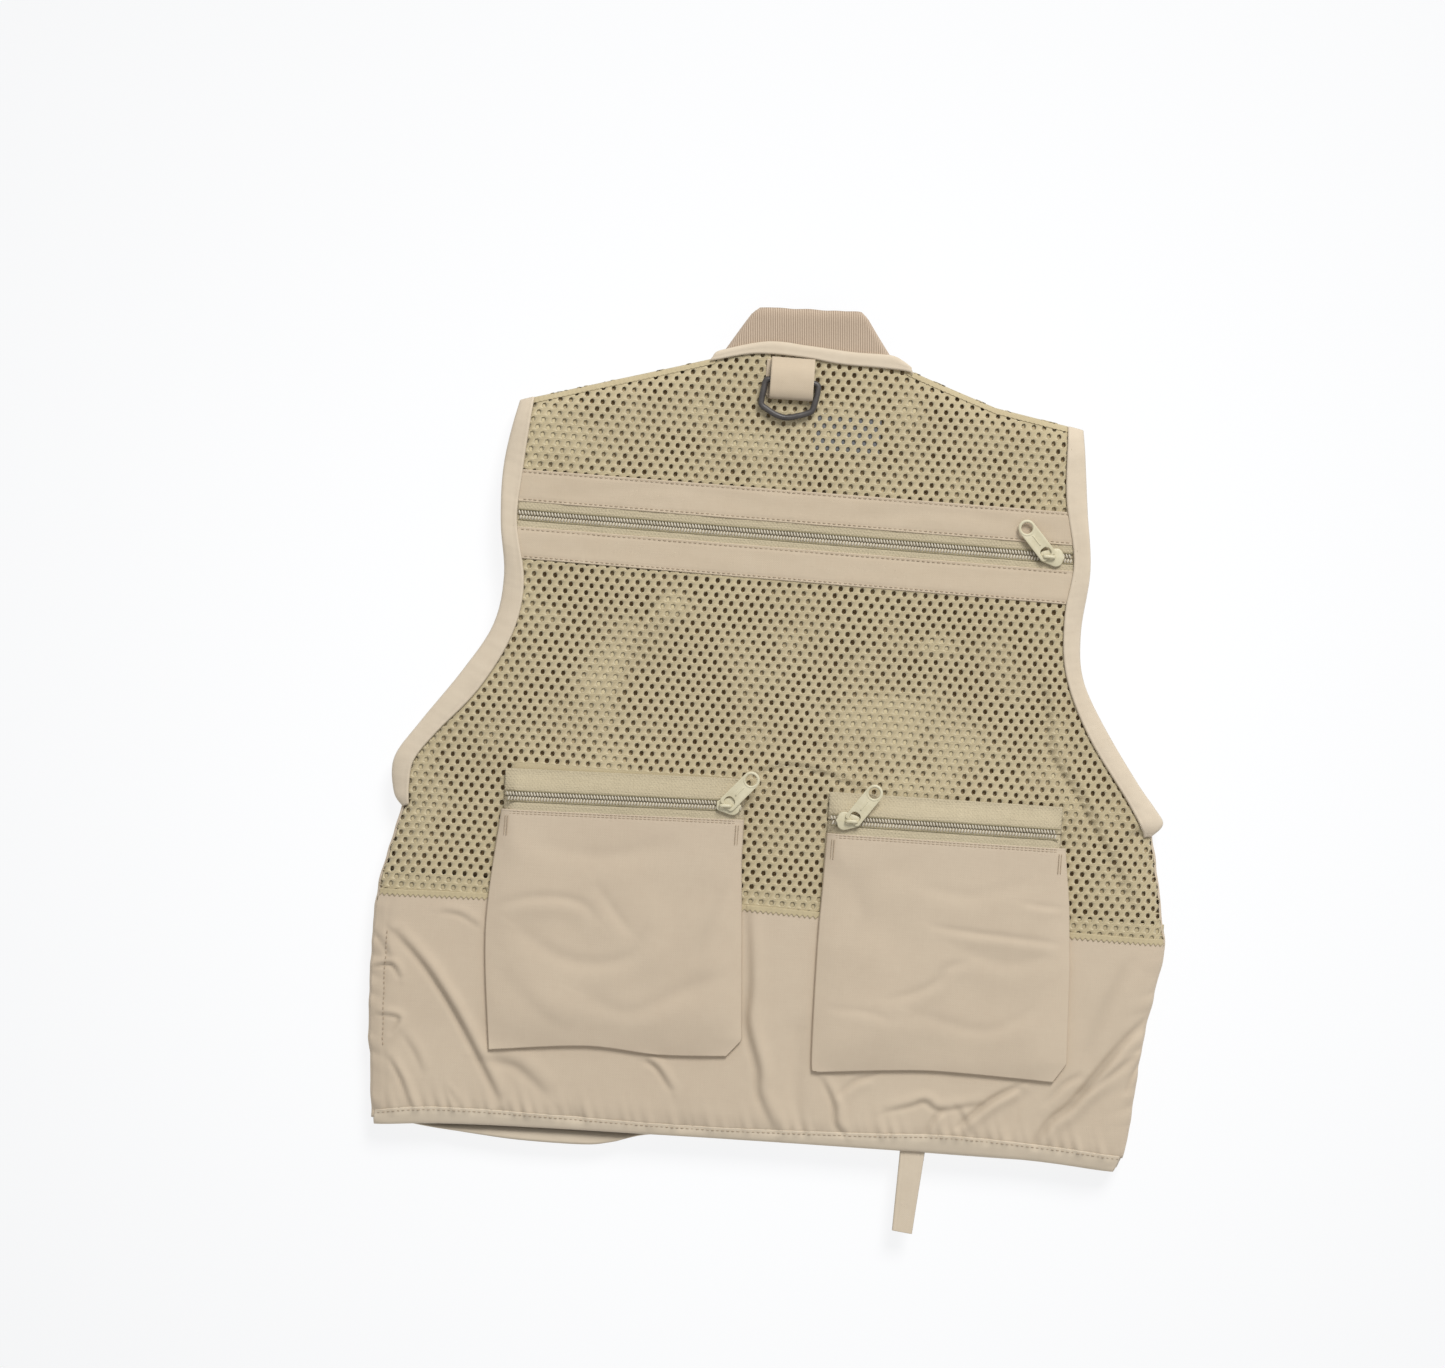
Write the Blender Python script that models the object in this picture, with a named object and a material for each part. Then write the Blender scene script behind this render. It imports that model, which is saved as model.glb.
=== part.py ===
"""A youth fishing vest, empty and lying flat with its back up.

The vest is a stack of cloth layers: front pockets at the bottom, front panels, the room for the
body, the lining of the large back pocket, the back panels and the two lower back pockets on top.
+X runs across the back, +Y towards the collar and +Z up. Lengths below are millimetres in the
vest's own pattern, and place() turns them into metres with the origin under the middle.
"""
import math

import bmesh
import bpy
from mathutils import Matrix, Vector

MM = 0.001
PATTERN_MIDDLE = (7.5, 3.5)

# Cloth and the clearance that sewn pieces keep from each other.
CLOTH = 0.8
GAP = 0.3
CURVE_STEPS = 3

# The flaps of the front pockets: how far above the mouth each is sewn, and its height.
FLAP_LIFT = 2.0
FLAP_Z = 0.8

# Heights of the layers, each the underside of its cloth.
POCKET_RISE = 6.4
FRONT_Z = 6.7
LINING_Z = 13.5
LINING_CLOTH = 0.6
BACK_Z = 19.0
BAG_Z = BACK_Z + CLOTH + GAP
BAG_RISE = 5.9
BAG_TOP = BAG_Z + BAG_RISE

# Centre front line and the slots that the zips fill.
CENTRE_X = 8.0
CHAIN_HALF = 3.05
CHAIN_GAP = 0.65
COIL_RISE = 2.0
TAPE_EDGE = 9.0

# Slider and pull, in the slider's own frame: x along the zip, z away from the cloth.
SLIDER_LENGTH = 14.0
SLIDER_WIDTH = 10.6
PLATE = 1.2
PLATE_LIFT = 1.4
BAIL_OPEN = 2.2
BAIL_BAR = 1.0
BAR_X = -2.0
PULL_LENGTH = 25.5
PULL_WIDTH = 9.8
PULL_CLOTH = 1.3
PULL_HOLE = 3.8

# Ring and its loop at the back of the neck.
RING_BAR = 3.4
RING_ROOM = 4.6
TAB_WIDTH = 24.0

# Outlines, each a smooth line through the points that give it its shape.
LEFT_ARM_OUTER = [(-156.5, 201), (-162.5, 166), (-162, 132), (-158, 101), (-162, 72), (-178, 44),
                  (-200, 13), (-213, -8), (-212, -27), (-206.5, -35)]
LEFT_ARM_INNER = [(-149, 203.2), (-152.5, 158), (-153.5, 131), (-147, 97), (-151.5, 67), (-168, 35),
                  (-190, 9), (-202, -8), (-204, -22), (-203.5, -34)]
LEFT_SIDE = [(-206.5, -35), (-213, -64), (-217, -84), (-218, -121), (-216.5, -160), (-211, -209.5)]
RIGHT_ARM_OUTER = [(165.5, 207.3), (168.5, 181), (171, 158), (174.5, 127), (172, 92), (175, 66),
                   (188, 41), (210, 9), (222, -6), (227, -14), (221, -21)]
RIGHT_ARM_INNER = [(157, 208.6), (158.5, 168), (165.5, 132), (162.5, 101), (165.5, 68), (180.5, 34),
                   (205, -1), (215, -17), (217, -22)]
RIGHT_SIDE = [(221, -21), (228, -54), (233, -86), (230, -104), (224.5, -140), (221, -180),
              (218, -205)]
LEFT_SHOULDER = [(-47, 233), (-156.5, 201)]
RIGHT_SHOULDER = [(62.5, 234.5), (89.5, 225), (115, 216.3), (165.5, 207.3)]
NECK_LOWER = [(-47, 233), (-24, 237.5), (4, 237), (24, 234.6), (48, 234.5), (62.5, 234.5)]
NECK_UPPER = [(-43.5, 237.4), (-18, 244.5), (6, 243.6), (31, 242), (52, 242), (59, 238.5)]
HEM_SEAM = [(-211, -209.5), (-166, -204.2), (-31, -205), (65, -202), (120, -199.5), (183, -202),
            (218, -205)]
HEM_EDGE = [(-210, -218), (-160, -214), (-50, -212), (70, -211), (160, -211), (213, -214.5)]
LEFT_BAG = [(-149, -9.5), (-12, -5), (-11, -53), (-7, -105), (-3.5, -154), (-11.5, -163.5),
            (-51, -165.5), (-92, -163.5), (-147, -169.5), (-153, -116), (-153.5, -81), (-150, -33)]
RIGHT_BAG = [(36, -9), (169, -8), (172.5, -31.5), (177, -64), (180, -102), (182, -154),
             (175, -164.5), (126, -163), (94, -163.5), (40, -168.5), (36.5, -164), (35, -100),
             (35.5, -62)]

# Heights along the sides at which the back changes from one panel to the next, left then right.
BAND_TOP = (161.5, 159.8)
BAND_BOTTOM = (110.5, 107.0)
MESH_END = (-85.0, -81.6)
MESH_END_RISE = [(35, -80.2), (-8, -79)]

# Each zip runs from its first point to its second, at the height of its tapes' underside.
STORAGE_ZIP = ((-151.0, 135.5), (160.5, 133.3), BACK_Z)
LEFT_ZIP = ((-147.2, -24.6), (-13.6, -20.9), BAG_TOP - CLOTH)
RIGHT_ZIP = ((37.6, -24.9), (167.4, -23.9), BAG_TOP - CLOTH)
FRONT_ZIP = ((CENTRE_X, -212.0), (CENTRE_X, 231.0), FRONT_Z)


def clear_scene():
    for found in list(bpy.data.objects):
        bpy.data.objects.remove(found)


def make_collection(name):
    made = bpy.data.collections.new(name)
    bpy.context.scene.collection.children.link(made)
    return made


def make_material(name, red, green, blue, roughness, metallic=0.0):
    """A Principled material from an 8-bit display colour."""
    made = bpy.data.materials.new(name)
    made.use_nodes = True
    shader = made.node_tree.nodes["Principled BSDF"]
    linear = [((v / 255 + 0.055) / 1.055) ** 2.4 for v in (red, green, blue)]
    shader.inputs["Base Color"].default_value = (*linear, 1.0)
    shader.inputs["Roughness"].default_value = roughness
    shader.inputs["Metallic"].default_value = metallic
    return made


def place(x, y, z=0.0):
    return Vector((x - PATTERN_MIDDLE[0], y - PATTERN_MIDDLE[1], z)) * MM


def smooth(points, steps=CURVE_STEPS):
    """A Catmull-Rom line through the points."""
    ends = [points[0]] + points + [points[-1]]
    line = []
    for i in range(1, len(points)):
        a, b, c, d = (Vector(ends[i + k]) for k in (-1, 0, 1, 2))
        for step in range(steps):
            t = step / steps
            line.append(tuple(0.5 * (2 * b + (c - a) * t + (2 * a - 5 * b + 4 * c - d) * t * t
                                     + (3 * b - a - 3 * c + d) * t ** 3)))
    return line + [points[-1]]


def signed_area(outline):
    return sum(a[0] * b[1] - b[0] * a[1] for a, b in zip(outline, outline[1:] + outline[:1])) / 2


def inset(outline, distance):
    """The outline moved inwards by a distance, with mitred corners."""
    turn = 1 if signed_area(outline) > 0 else -1
    moved = []
    for i, point in enumerate(outline):
        before = (Vector(point) - Vector(outline[i - 1])).normalized()
        after = (Vector(outline[(i + 1) % len(outline)]) - Vector(point)).normalized()
        inward = Vector((-before.y - after.y, before.x + after.x)) * turn
        inward.normalize()
        half_turn = max(inward.dot(Vector((-after.y, after.x)) * turn), 0.35)
        moved.append(tuple(Vector(point) + inward * distance / half_turn))
    return moved


def x_at(edge, height):
    """Where a side edge, listed from the top down, crosses a height."""
    for a, b in zip(edge, edge[1:]):
        if a[1] >= height >= b[1] and a[1] > b[1]:
            return a[0] + (b[0] - a[0]) * (a[1] - height) / (a[1] - b[1])
    return edge[0][0] if height > edge[0][1] else edge[-1][0]


def between(edge, high, low):
    """The stretch of a side edge from one height down to another."""
    inside = [point for point in edge if low + 1 < point[1] < high - 1]
    return [(x_at(edge, high), high)] + inside + [(x_at(edge, low), low)]


def filled_curve(name, outlines, half_thickness):
    curve = bpy.data.curves.new(name, "CURVE")
    curve.dimensions = "2D"
    curve.fill_mode = "BOTH"
    curve.extrude = half_thickness
    for outline in outlines:
        spline = curve.splines.new("POLY")
        spline.points.add(len(outline) - 1)
        for point, (x, y) in zip(spline.points, outline):
            point.co = (x, y, 0, 1)
        spline.use_cyclic_u = True
    return curve


def add(name, data, material, location=(0, 0, 0), rotation=(0, 0, 0), collection=None):
    made = bpy.data.objects.new(name, data)
    made.location = location
    made.rotation_euler = rotation
    if material and not data.materials:
        data.materials.append(material)
    (collection or VEST).objects.link(made)
    return made


def plate(name, outline, low, material, thickness=CLOTH, holes=(), gap=GAP / 2, collection=None):
    """A flat piece of cloth in the pattern, kept a little smaller than its outline."""
    shrunk = inset(outline, gap) if gap else outline
    rings = [[tuple(place(x, y).xy) for x, y in ring] for ring in [shrunk, *holes]]
    curve = filled_curve(name, rings, thickness / 2 * MM)
    return add(name, curve, material, (0, 0, (low + thickness / 2) * MM), collection=collection)


def as_mesh(found):
    """Turns a curve object into a closed mesh object of the same name and place."""
    graph = bpy.context.evaluated_depsgraph_get()
    mesh = bpy.data.meshes.new_from_object(found.evaluated_get(graph))
    shape = bmesh.new()
    shape.from_mesh(mesh)
    bmesh.ops.remove_doubles(shape, verts=shape.verts, dist=1e-6)
    bmesh.ops.recalc_face_normals(shape, faces=shape.faces)
    shape.to_mesh(mesh)
    shape.free()
    name, place_in_world, home = found.name, found.matrix_world.copy(), found.users_collection[0]
    material = found.data.materials[0] if found.data.materials else None
    bpy.data.objects.remove(found)
    mesh.materials.clear()
    made = add(name, mesh, material, collection=home)
    made.matrix_world = place_in_world
    return made


def block(name, low, high, material=None, collection=None):
    """A box between two corners given in the pattern."""
    shape = bmesh.new()
    size = [(b - a) * MM for a, b in zip(low, high)]
    middle = place(*[(a + b) / 2 for a, b in zip(low, high)])
    bmesh.ops.create_cube(shape, size=1.0, matrix=Matrix.Translation(middle) @ Matrix.Diagonal((*size, 1)))
    mesh = bpy.data.meshes.new(name)
    shape.to_mesh(mesh)
    shape.free()
    return add(name, mesh, material, collection=collection)


def boolean(target, other, operation="DIFFERENCE"):
    step = target.modifiers.new(other.name, "BOOLEAN")
    step.operation = operation
    step.object = other
    step.solver = "EXACT"
    other.hide_render = True
    other.display_type = "WIRE"
    return target


def applied(found, name):
    """The evaluated mesh of an object in world space, as a mesh of its own."""
    bpy.context.view_layer.update()
    graph = bpy.context.evaluated_depsgraph_get()
    mesh = bpy.data.meshes.new_from_object(found.evaluated_get(graph))
    mesh.transform(found.matrix_world)
    mesh.name = name
    return mesh


def zip_frame(line):
    """Origin, angle and length of a zip's centre line."""
    start, end = Vector(line[0]), Vector(line[1])
    along = end - start
    return start, math.atan2(along.y, along.x), along.length


def zip_point(line, along, across):
    """A point in the pattern, measured along and to the left of a zip's line."""
    start, angle, _ = zip_frame(line)
    return (start.x + along * math.cos(angle) - across * math.sin(angle),
            start.y + along * math.sin(angle) + across * math.cos(angle))


def zip_strip(name, line, near, far, low, thickness, material):
    """A straight strip beside a zip's line, from one distance to another."""
    length = zip_frame(line)[2]
    outline = [zip_point(line, 0, near), zip_point(line, length, near),
               zip_point(line, length, far), zip_point(line, 0, far)]
    return plate(name, outline, low, material, thickness, gap=0)


def make_zip(name, line, sides, tape_edges, tape, coil):
    """Two tapes and the two halves of the chain between them."""
    low = line[2]
    coil_low = low + CLOTH / 2 - COIL_RISE / 2
    for side, sign, edge in zip(sides, (1, -1), tape_edges):
        zip_strip(f"{name}_tape_{side}", line, sign * (CHAIN_HALF + GAP), sign * edge, low, CLOTH, tape)
        zip_strip(f"{name}_coil_{side}", line, sign * CHAIN_GAP, sign * CHAIN_HALF, coil_low,
                  COIL_RISE, coil)


def slider_mesh(material):
    """Two plates joined by a post between the chain halves, with an arched bail on the outer one."""
    half, wide = SLIDER_LENGTH / 2, SLIDER_WIDTH / 2
    body = smooth([(-half, -2.6), (-2.5, -3.9), (2.5, -wide), (6, -3.4), (half, 0), (6, 3.4),
                   (2.5, wide), (-2.5, 3.9), (-half, 2.6)], 2)
    body = [(x * MM, y * MM) for x, y in body]
    top = as_mesh(add("slider_top", filled_curve("slider_top", [body], PLATE / 2 * MM), material,
                      (0, 0, (PLATE_LIFT + PLATE / 2) * MM), collection=TOOLS))
    bottom = as_mesh(add("slider_bottom", filled_curve("slider_bottom", [body], PLATE / 2 * MM),
                         material, (0, 0, -(PLATE_LIFT + PLATE / 2) * MM), collection=TOOLS))
    sink = 0.2
    reach = PLATE_LIFT + sink
    shape = bmesh.new()
    bmesh.ops.create_cube(shape, size=1.0, matrix=Matrix.Translation((3 * MM, 0, 0))
                          @ Matrix.Diagonal((4 * MM, 0.7 * MM, 2 * reach * MM, 1)))
    mesh = bpy.data.meshes.new("slider_post")
    shape.to_mesh(mesh)
    shape.free()
    post = add("slider_post", mesh, material, collection=TOOLS)
    foot = PLATE_LIFT + PLATE - sink
    crown = PLATE_LIFT + PLATE + BAIL_OPEN
    arch = [(-3.1, foot), (-3.1, crown - 0.2), (-2.3, crown + BAIL_BAR), (2.3, crown + BAIL_BAR),
            (3.1, crown - 0.2), (3.1, foot), (2.1, foot), (2.1, crown), (-2.1, crown), (-2.1, foot)]
    arch = [(BAR_X + x, y) for x, y in arch]
    arch = [(x * MM, y * MM) for x, y in arch]
    bail = as_mesh(add("slider_bail", filled_curve("slider_bail", [arch], 0.5 * MM), material,
                       (0, 0, 0), (math.pi / 2, 0, 0), TOOLS))
    for other in (post, bottom, bail):
        boolean(top, other, "UNION")
    top.hide_render = True
    return applied(top, "slider")


def pull_mesh():
    """A rounded leaf with a large finger hole and a window that the bail passes through."""
    wide, bar = PULL_WIDTH / 2, 0.6
    far = PULL_LENGTH - wide
    round_end = [(far + wide * math.sin(a), -wide * math.cos(a))
                 for a in (math.pi * i / 10 for i in range(11))]
    outer = [(-bar, 3.6), (-bar, -3.6), (1.0, -wide)] + round_end + [(1.0, wide)]
    hole = [(far + PULL_HOLE * math.cos(a), PULL_HOLE * math.sin(a))
            for a in (2 * math.pi * i / 16 for i in range(16))]
    window = [(bar, -2.4), (bar + 1.2, -3.1), (bar + 4.0, -3.1), (bar + 5.4, -1.8), (bar + 5.4, 1.8),
              (bar + 4.0, 3.1), (bar + 1.2, 3.1), (bar, 2.4)]
    rings = [[(x * MM, y * MM) for x, y in ring] for ring in (outer, hole, window)]
    shape = as_mesh(add("pull_shape", filled_curve("pull_shape", rings, PULL_CLOTH / 2 * MM), None,
                        collection=TOOLS))
    shape.hide_render = True
    return shape.data


def slider_and_pull(name, line, along, direction, yaw, meshes, material, flipped=False):
    """A slider at rest on its zip, and the pull that turns on the bar under the slider's bail."""
    x, y = zip_point(line, along, 0)
    angle = zip_frame(line)[1]
    height = line[2] + CLOTH / 2
    out = -1 if flipped else 1
    turned = angle if direction < 0 else angle + math.pi
    tilt = math.pi if flipped else 0.0
    add(f"{name}_slider", meshes[0], material, place(x, y, height), (tilt, 0, turned))
    bar_x = x + BAR_X * math.cos(turned)
    bar_y = y + BAR_X * math.sin(turned)
    bar_z = height + out * (PLATE_LIFT + PLATE + BAIL_OPEN / 2)
    add(f"{name}_pull", meshes[1], material, place(bar_x, bar_y, bar_z), (tilt, 0, math.radians(yaw)))


def back_panels(cloth, mesh, binding):
    left = smooth(LEFT_ARM_INNER) + smooth(LEFT_SIDE)[1:]
    right = smooth(RIGHT_ARM_INNER) + smooth(RIGHT_SIDE)[1:]
    neck = smooth(NECK_LOWER)

    def panel(name, high, low, material, bottom=()):
        outline = between(left, high[0], low[0]) + list(bottom)[::-1] + between(right, high[1], low[1])[::-1]
        plate(name, outline, BACK_Z, material)

    yoke = (between(left, left[0][1], BAND_TOP[0])[::-1] + neck + RIGHT_SHOULDER[1:-1]
            + between(right, right[0][1], BAND_TOP[1]))
    plate("back_yoke_mesh", yoke, BACK_Z, mesh)
    start, end = STORAGE_ZIP[0][1], STORAGE_ZIP[1][1]
    upper = (start + 7.4, end + 7.4)
    lower = (start - 6.6, end - 6.6)
    panel("storage_band_upper", BAND_TOP, upper, cloth)
    panel("storage_band_lower", lower, BAND_BOTTOM, cloth)
    panel("back_mesh", BAND_BOTTOM, MESH_END, mesh, MESH_END_RISE)
    seam = smooth(HEM_SEAM)
    lower_panel = (between(left, MESH_END[0], -205) + seam + between(right, MESH_END[1], -202)[::-1]
                   + MESH_END_RISE)
    plate("back_lower_panel", lower_panel, BACK_Z, cloth)
    plate("back_hem", seam + smooth(HEM_EDGE)[::-1], BACK_Z, binding)
    plate("neck_binding", smooth(NECK_UPPER) + neck[::-1], BACK_Z, binding)


def armhole_bindings(level, suffix, binding):
    for side, outer, inner in (("left", LEFT_ARM_OUTER, LEFT_ARM_INNER),
                               ("right", RIGHT_ARM_OUTER, RIGHT_ARM_INNER)):
        plate(f"{side}_armhole_binding_{suffix}", smooth(outer) + smooth(inner)[::-1], level, binding)


def front_panels(cloth, binding):
    seam = -204.0
    left = smooth(LEFT_ARM_INNER) + smooth(LEFT_SIDE)[1:]
    right = smooth(RIGHT_ARM_INNER) + smooth(RIGHT_SIDE)[1:]
    inner_left, inner_right = CENTRE_X - TAPE_EDGE - GAP, CENTRE_X + TAPE_EDGE + GAP
    plate("left_front_panel", between(left, left[0][1], seam) + [(inner_left, seam), (inner_left, 235)]
          + [(-24, 235), NECK_LOWER[0]], FRONT_Z, cloth)
    plate("right_front_panel", between(right, right[0][1], seam) + [(inner_right, seam), (inner_right, 233)]
          + [(48, 233)] + RIGHT_SHOULDER[:-1], FRONT_Z, cloth)
    plate("left_front_hem", [(-210.5, seam), (inner_left, seam), (inner_left, -212), (-50, -213),
                             (-90, -220.5), (-127, -220.5), (-190, -216.5), (-209.5, -213)], FRONT_Z, binding)
    plate("right_front_hem", [(217.5, seam), (inner_right, seam), (inner_right, -212), (211, -212)],
          FRONT_Z, binding)


def seam_walls(binding):
    """The side and shoulder seams, which hold the front and back layers together."""
    low, rise = FRONT_Z + CLOTH + GAP, BACK_Z - FRONT_Z - CLOTH - 2 * GAP
    width = 2.0
    left_side = [(x + 1.0, y) for x, y in between(smooth(LEFT_SIDE), -37, -203)]
    right_side = [(x - 1.0, y) for x, y in between(smooth(RIGHT_SIDE), -24, -200)]
    plate("left_side_seam", left_side + [(x + width, y) for x, y in left_side[::-1]], low, binding, rise)
    plate("right_side_seam", right_side + [(x - width, y) for x, y in right_side[::-1]], low, binding, rise)
    for side, line in (("left", LEFT_SHOULDER), ("right", RIGHT_SHOULDER)):
        lowered = [(x, y - 1.2) for x, y in line]
        plate(f"{side}_shoulder_seam", lowered + [(x, y - 1.2 - width) for x, y in line[::-1]], low,
              binding, rise)


def storage_lining(lining):
    """The tray behind the long back zip, open towards the back panels."""
    low, high = (-152.8, -72.0), (163.6, 164.0)
    top = BACK_Z - GAP
    tray = block("storage_lining", (*low, LINING_Z), (*high, top), lining)
    room = block("storage_room", (low[0] + CLOTH, low[1] + CLOTH, LINING_Z + LINING_CLOTH),
                 (high[0] - CLOTH, high[1] - CLOTH, top + 1), collection=TOOLS)
    boolean(tray, room)


def back_bag(side, outline, line, cloth):
    """A lower back pocket: a tray open to the back, with a slot across its top for the zip."""
    bag = as_mesh(plate(f"{side}_pocket_bag", outline, BAG_Z, cloth, BAG_RISE, gap=0))
    room = as_mesh(plate(f"{side}_pocket_room", inset(outline, CLOTH), BAG_Z - 1, None,
                         BAG_RISE - CLOTH + 1, gap=0, collection=TOOLS))
    boolean(bag, room)
    inner = inset(outline, CLOTH)
    length = zip_frame(line)[2]
    slot = [zip_point(line, -1, 25), zip_point(line, -1, -8.0), zip_point(line, length + 1, -8.0),
            zip_point(line, length + 1, 25)]
    lid = as_mesh(plate(f"{side}_pocket_slot", [p for p in inner if p[1] > -12] + slot[1:3][::-1],
                        BAG_TOP - CLOTH - 0.5, None, CLOTH + 1.5, gap=0, collection=TOOLS))
    boolean(bag, lid)


def front_pocket(name, low, high, mouth, cloth):
    """A pocket on the front, open at the top, with a step near the mouth for the flap.

    Its side walls run on past the mouth, up to the line that the flap is sewn on.
    """
    step, step_rise = high[1] - mouth, 1.4
    pocket = block(name, (*low, 0), (high[0], high[1] + FLAP_LIFT + 1.2, POCKET_RISE), cloth)
    cuts = [
        block(f"{name}_step", (low[0] - 1, step, -1), (high[0] + 1, high[1] + 5, step_rise),
              collection=TOOLS),
        block(f"{name}_room", (low[0] + CLOTH, low[1] + CLOTH, CLOTH), (high[0] - CLOTH, step - CLOTH, 9),
              collection=TOOLS),
        block(f"{name}_mouth", (low[0] + CLOTH, step - CLOTH - 0.1, step_rise + CLOTH),
              (high[0] - CLOTH, high[1] + 1, 9), collection=TOOLS),
        block(f"{name}_top", (low[0] + CLOTH, high[1], -1), (high[0] - CLOTH, high[1] + 5, 9),
              collection=TOOLS),
    ]
    for cutter in cuts:
        boolean(pocket, cutter)


def flap(name, low, high, mouth, cloth):
    """A flap lying over the mouth; its origin is on the sewn line it swings about."""
    reach, root = mouth + FLAP_LIFT - 1.5, 0.3
    outline = [(low[0] + 0.5, -reach), (high[0] - 0.5, -reach), (high[0] - 0.5, root), (low[0] + 0.5, root)]
    middle = (low[0] + high[0]) / 2
    ring = [((x - middle) * MM, y * MM) for x, y in outline]
    add(name, filled_curve(name, [ring], CLOTH / 2 * MM), cloth,
        place(middle, high[1] + FLAP_LIFT, FLAP_Z))


def collar(rib):
    """A flattened ring of rib knit, open at the front and drawn in towards its top."""
    low_y, high_y, half, top_half, middle = 245.6, 265.0, 44.5, 30.7, 5.6
    low_z, high_z, wall, slot = 8.4, 20.0, 1.2, 9.0
    ring = [(-half, low_z), (-half, high_z), (half, high_z), (half, low_z), (slot, low_z),
            (slot, low_z + wall), (half - wall, low_z + wall), (half - wall, high_z - wall),
            (wall - half, high_z - wall), (wall - half, low_z + wall), (-slot, low_z + wall),
            (-slot, low_z)]
    ring = [(x * MM, z * MM) for x, z in ring]
    curve = filled_curve("collar_rib", [ring], (high_y - low_y) / 2 * MM)
    found = as_mesh(add("collar_rib", curve, rib, place(middle, (low_y + high_y) / 2),
                        (math.pi / 2, 0, 0)))
    for vertex in found.data.vertices:
        if vertex.co.z < 0:
            vertex.co.x *= top_half / half


def ring_and_tab(cloth, plastic):
    """The loop under the neck binding, the ring whose bar lies in it and the blank neck label."""
    low_z = BACK_Z + CLOTH + GAP
    room = RING_ROOM
    rise = room + 2 * CLOTH
    outer = [(212.0, low_z), (236.0 - 2.3, low_z), (236.0 - 2.3, low_z + rise), (212.0, low_z + rise)]
    inner = [(212.8, low_z + CLOTH), (226.5, low_z + CLOTH), (226.5, low_z + CLOTH + room),
             (212.8, low_z + CLOTH + room)]
    middle_x = -2.4
    rings = [[(y * MM, z * MM) for y, z in ring] for ring in (outer, inner)]
    curve = filled_curve("ring_tab", rings, TAB_WIDTH / 2 * MM)
    add("ring_tab", curve, cloth, place(middle_x, 0, 0), (math.pi / 2, 0, math.pi / 2))
    bar_y, bar_z = 221.6, low_z + CLOTH + room / 2
    shape = [(-18.8, 1.9), (-17.6, 3.0), (12.4, 1.0), (14.4, -0.6), (13.4, -15.0), (10.2, -18.2),
             (0.6, -21.9), (-8.0, -22.1), (-18.6, -17.6), (-21.3, -13.8)]
    hole = [(-16.4, 0.7), (10.9, -1.1), (10.3, -13.9), (7.9, -15.2), (0.2, -18.5), (-7.2, -18.5),
            (-16.4, -15.0), (-17.6, -12.8)]
    rings = [[(x * MM, y * MM) for x, y in ring] for ring in (shape, hole)]
    add("d_ring", filled_curve("d_ring", rings, RING_BAR / 2 * MM), plastic,
        place(middle_x + 2.4, bar_y, bar_z))


def lower_strap(binding):
    """The short tab sewn into the hem; its origin is on the sewn line it lifts about."""
    outline = [(7.4, 0), (7.5, -10), (3, -45.4), (-8.6, -44.1), (-7.2, -10), (-7.3, 0)]
    curve = filled_curve("lower_strap", [[(x * MM, y * MM) for x, y in outline]], 0.6 * MM)
    add("lower_strap", curve, binding, place(98.5, -212.6, 14.8))


def build():
    cloth = make_material("tan_cloth", 203, 187, 164, 0.85)
    mesh = make_material("olive_mesh", 190, 177, 138, 0.8)
    binding = make_material("binding_cloth", 210, 196, 175, 0.8)
    rib = make_material("rib_knit", 188, 170, 150, 0.9)
    tape = make_material("zip_tape", 198, 184, 156, 0.8)
    coil = make_material("zip_coil", 158, 152, 140, 0.45)
    metal = make_material("painted_slider", 202, 194, 160, 0.4)
    plastic = make_material("black_plastic", 70, 66, 66, 0.4)
    lining = make_material("lining_tricot", 150, 134, 104, 0.9)
    label = make_material("neck_label", 92, 96, 110, 0.8)

    back_panels(cloth, mesh, binding)
    armhole_bindings(BACK_Z, "back", binding)
    front_panels(cloth, binding)
    armhole_bindings(FRONT_Z, "front", binding)
    seam_walls(binding)
    storage_lining(lining)
    back_bag("left", LEFT_BAG, LEFT_ZIP, cloth)
    back_bag("right", RIGHT_BAG, RIGHT_ZIP, cloth)
    pockets = {"left_lower": ((-188, -190), (-10, -25), 50), "left_chest": ((-126, 38), (-18, 150), 38),
               "right_lower": ((26, -190), (204, -25), 50), "right_chest": ((34, 38), (142, 150), 38)}
    for name, (low, high, mouth) in pockets.items():
        front_pocket(f"{name}_pocket", low, high, mouth, cloth)
        flap(f"{name}_flap", low, high, mouth, cloth)
    collar(rib)
    ring_and_tab(binding, plastic)
    plate("neck_label", [(12, 184), (12, 206), (50, 206), (50, 184)], BACK_Z - 1.1, label, 0.6)
    lower_strap(binding)

    up_down = ("upper", "lower")
    make_zip("storage", STORAGE_ZIP, up_down, (7.1, 6.3), tape, coil)
    make_zip("left_pocket", LEFT_ZIP, up_down, (14.0, 7.7), tape, coil)
    make_zip("right_pocket", RIGHT_ZIP, up_down, (14.5, 7.7), tape, coil)
    make_zip("front", FRONT_ZIP, ("left", "right"), (TAPE_EDGE, TAPE_EDGE), tape, coil)
    meshes = (slider_mesh(metal), pull_mesh())
    slider_and_pull("storage", STORAGE_ZIP, 303.6, -1, 132, meshes, metal)
    slider_and_pull("left_pocket", LEFT_ZIP, 126.5, -1, 49, meshes, metal)
    slider_and_pull("right_pocket", RIGHT_ZIP, 9.6, 1, 55, meshes, metal)
    slider_and_pull("front", FRONT_ZIP, 434.0, -1, -90, meshes, metal, flipped=True)


clear_scene()
VEST = make_collection("fishing_vest")
TOOLS = make_collection("construction")
build()
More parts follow.
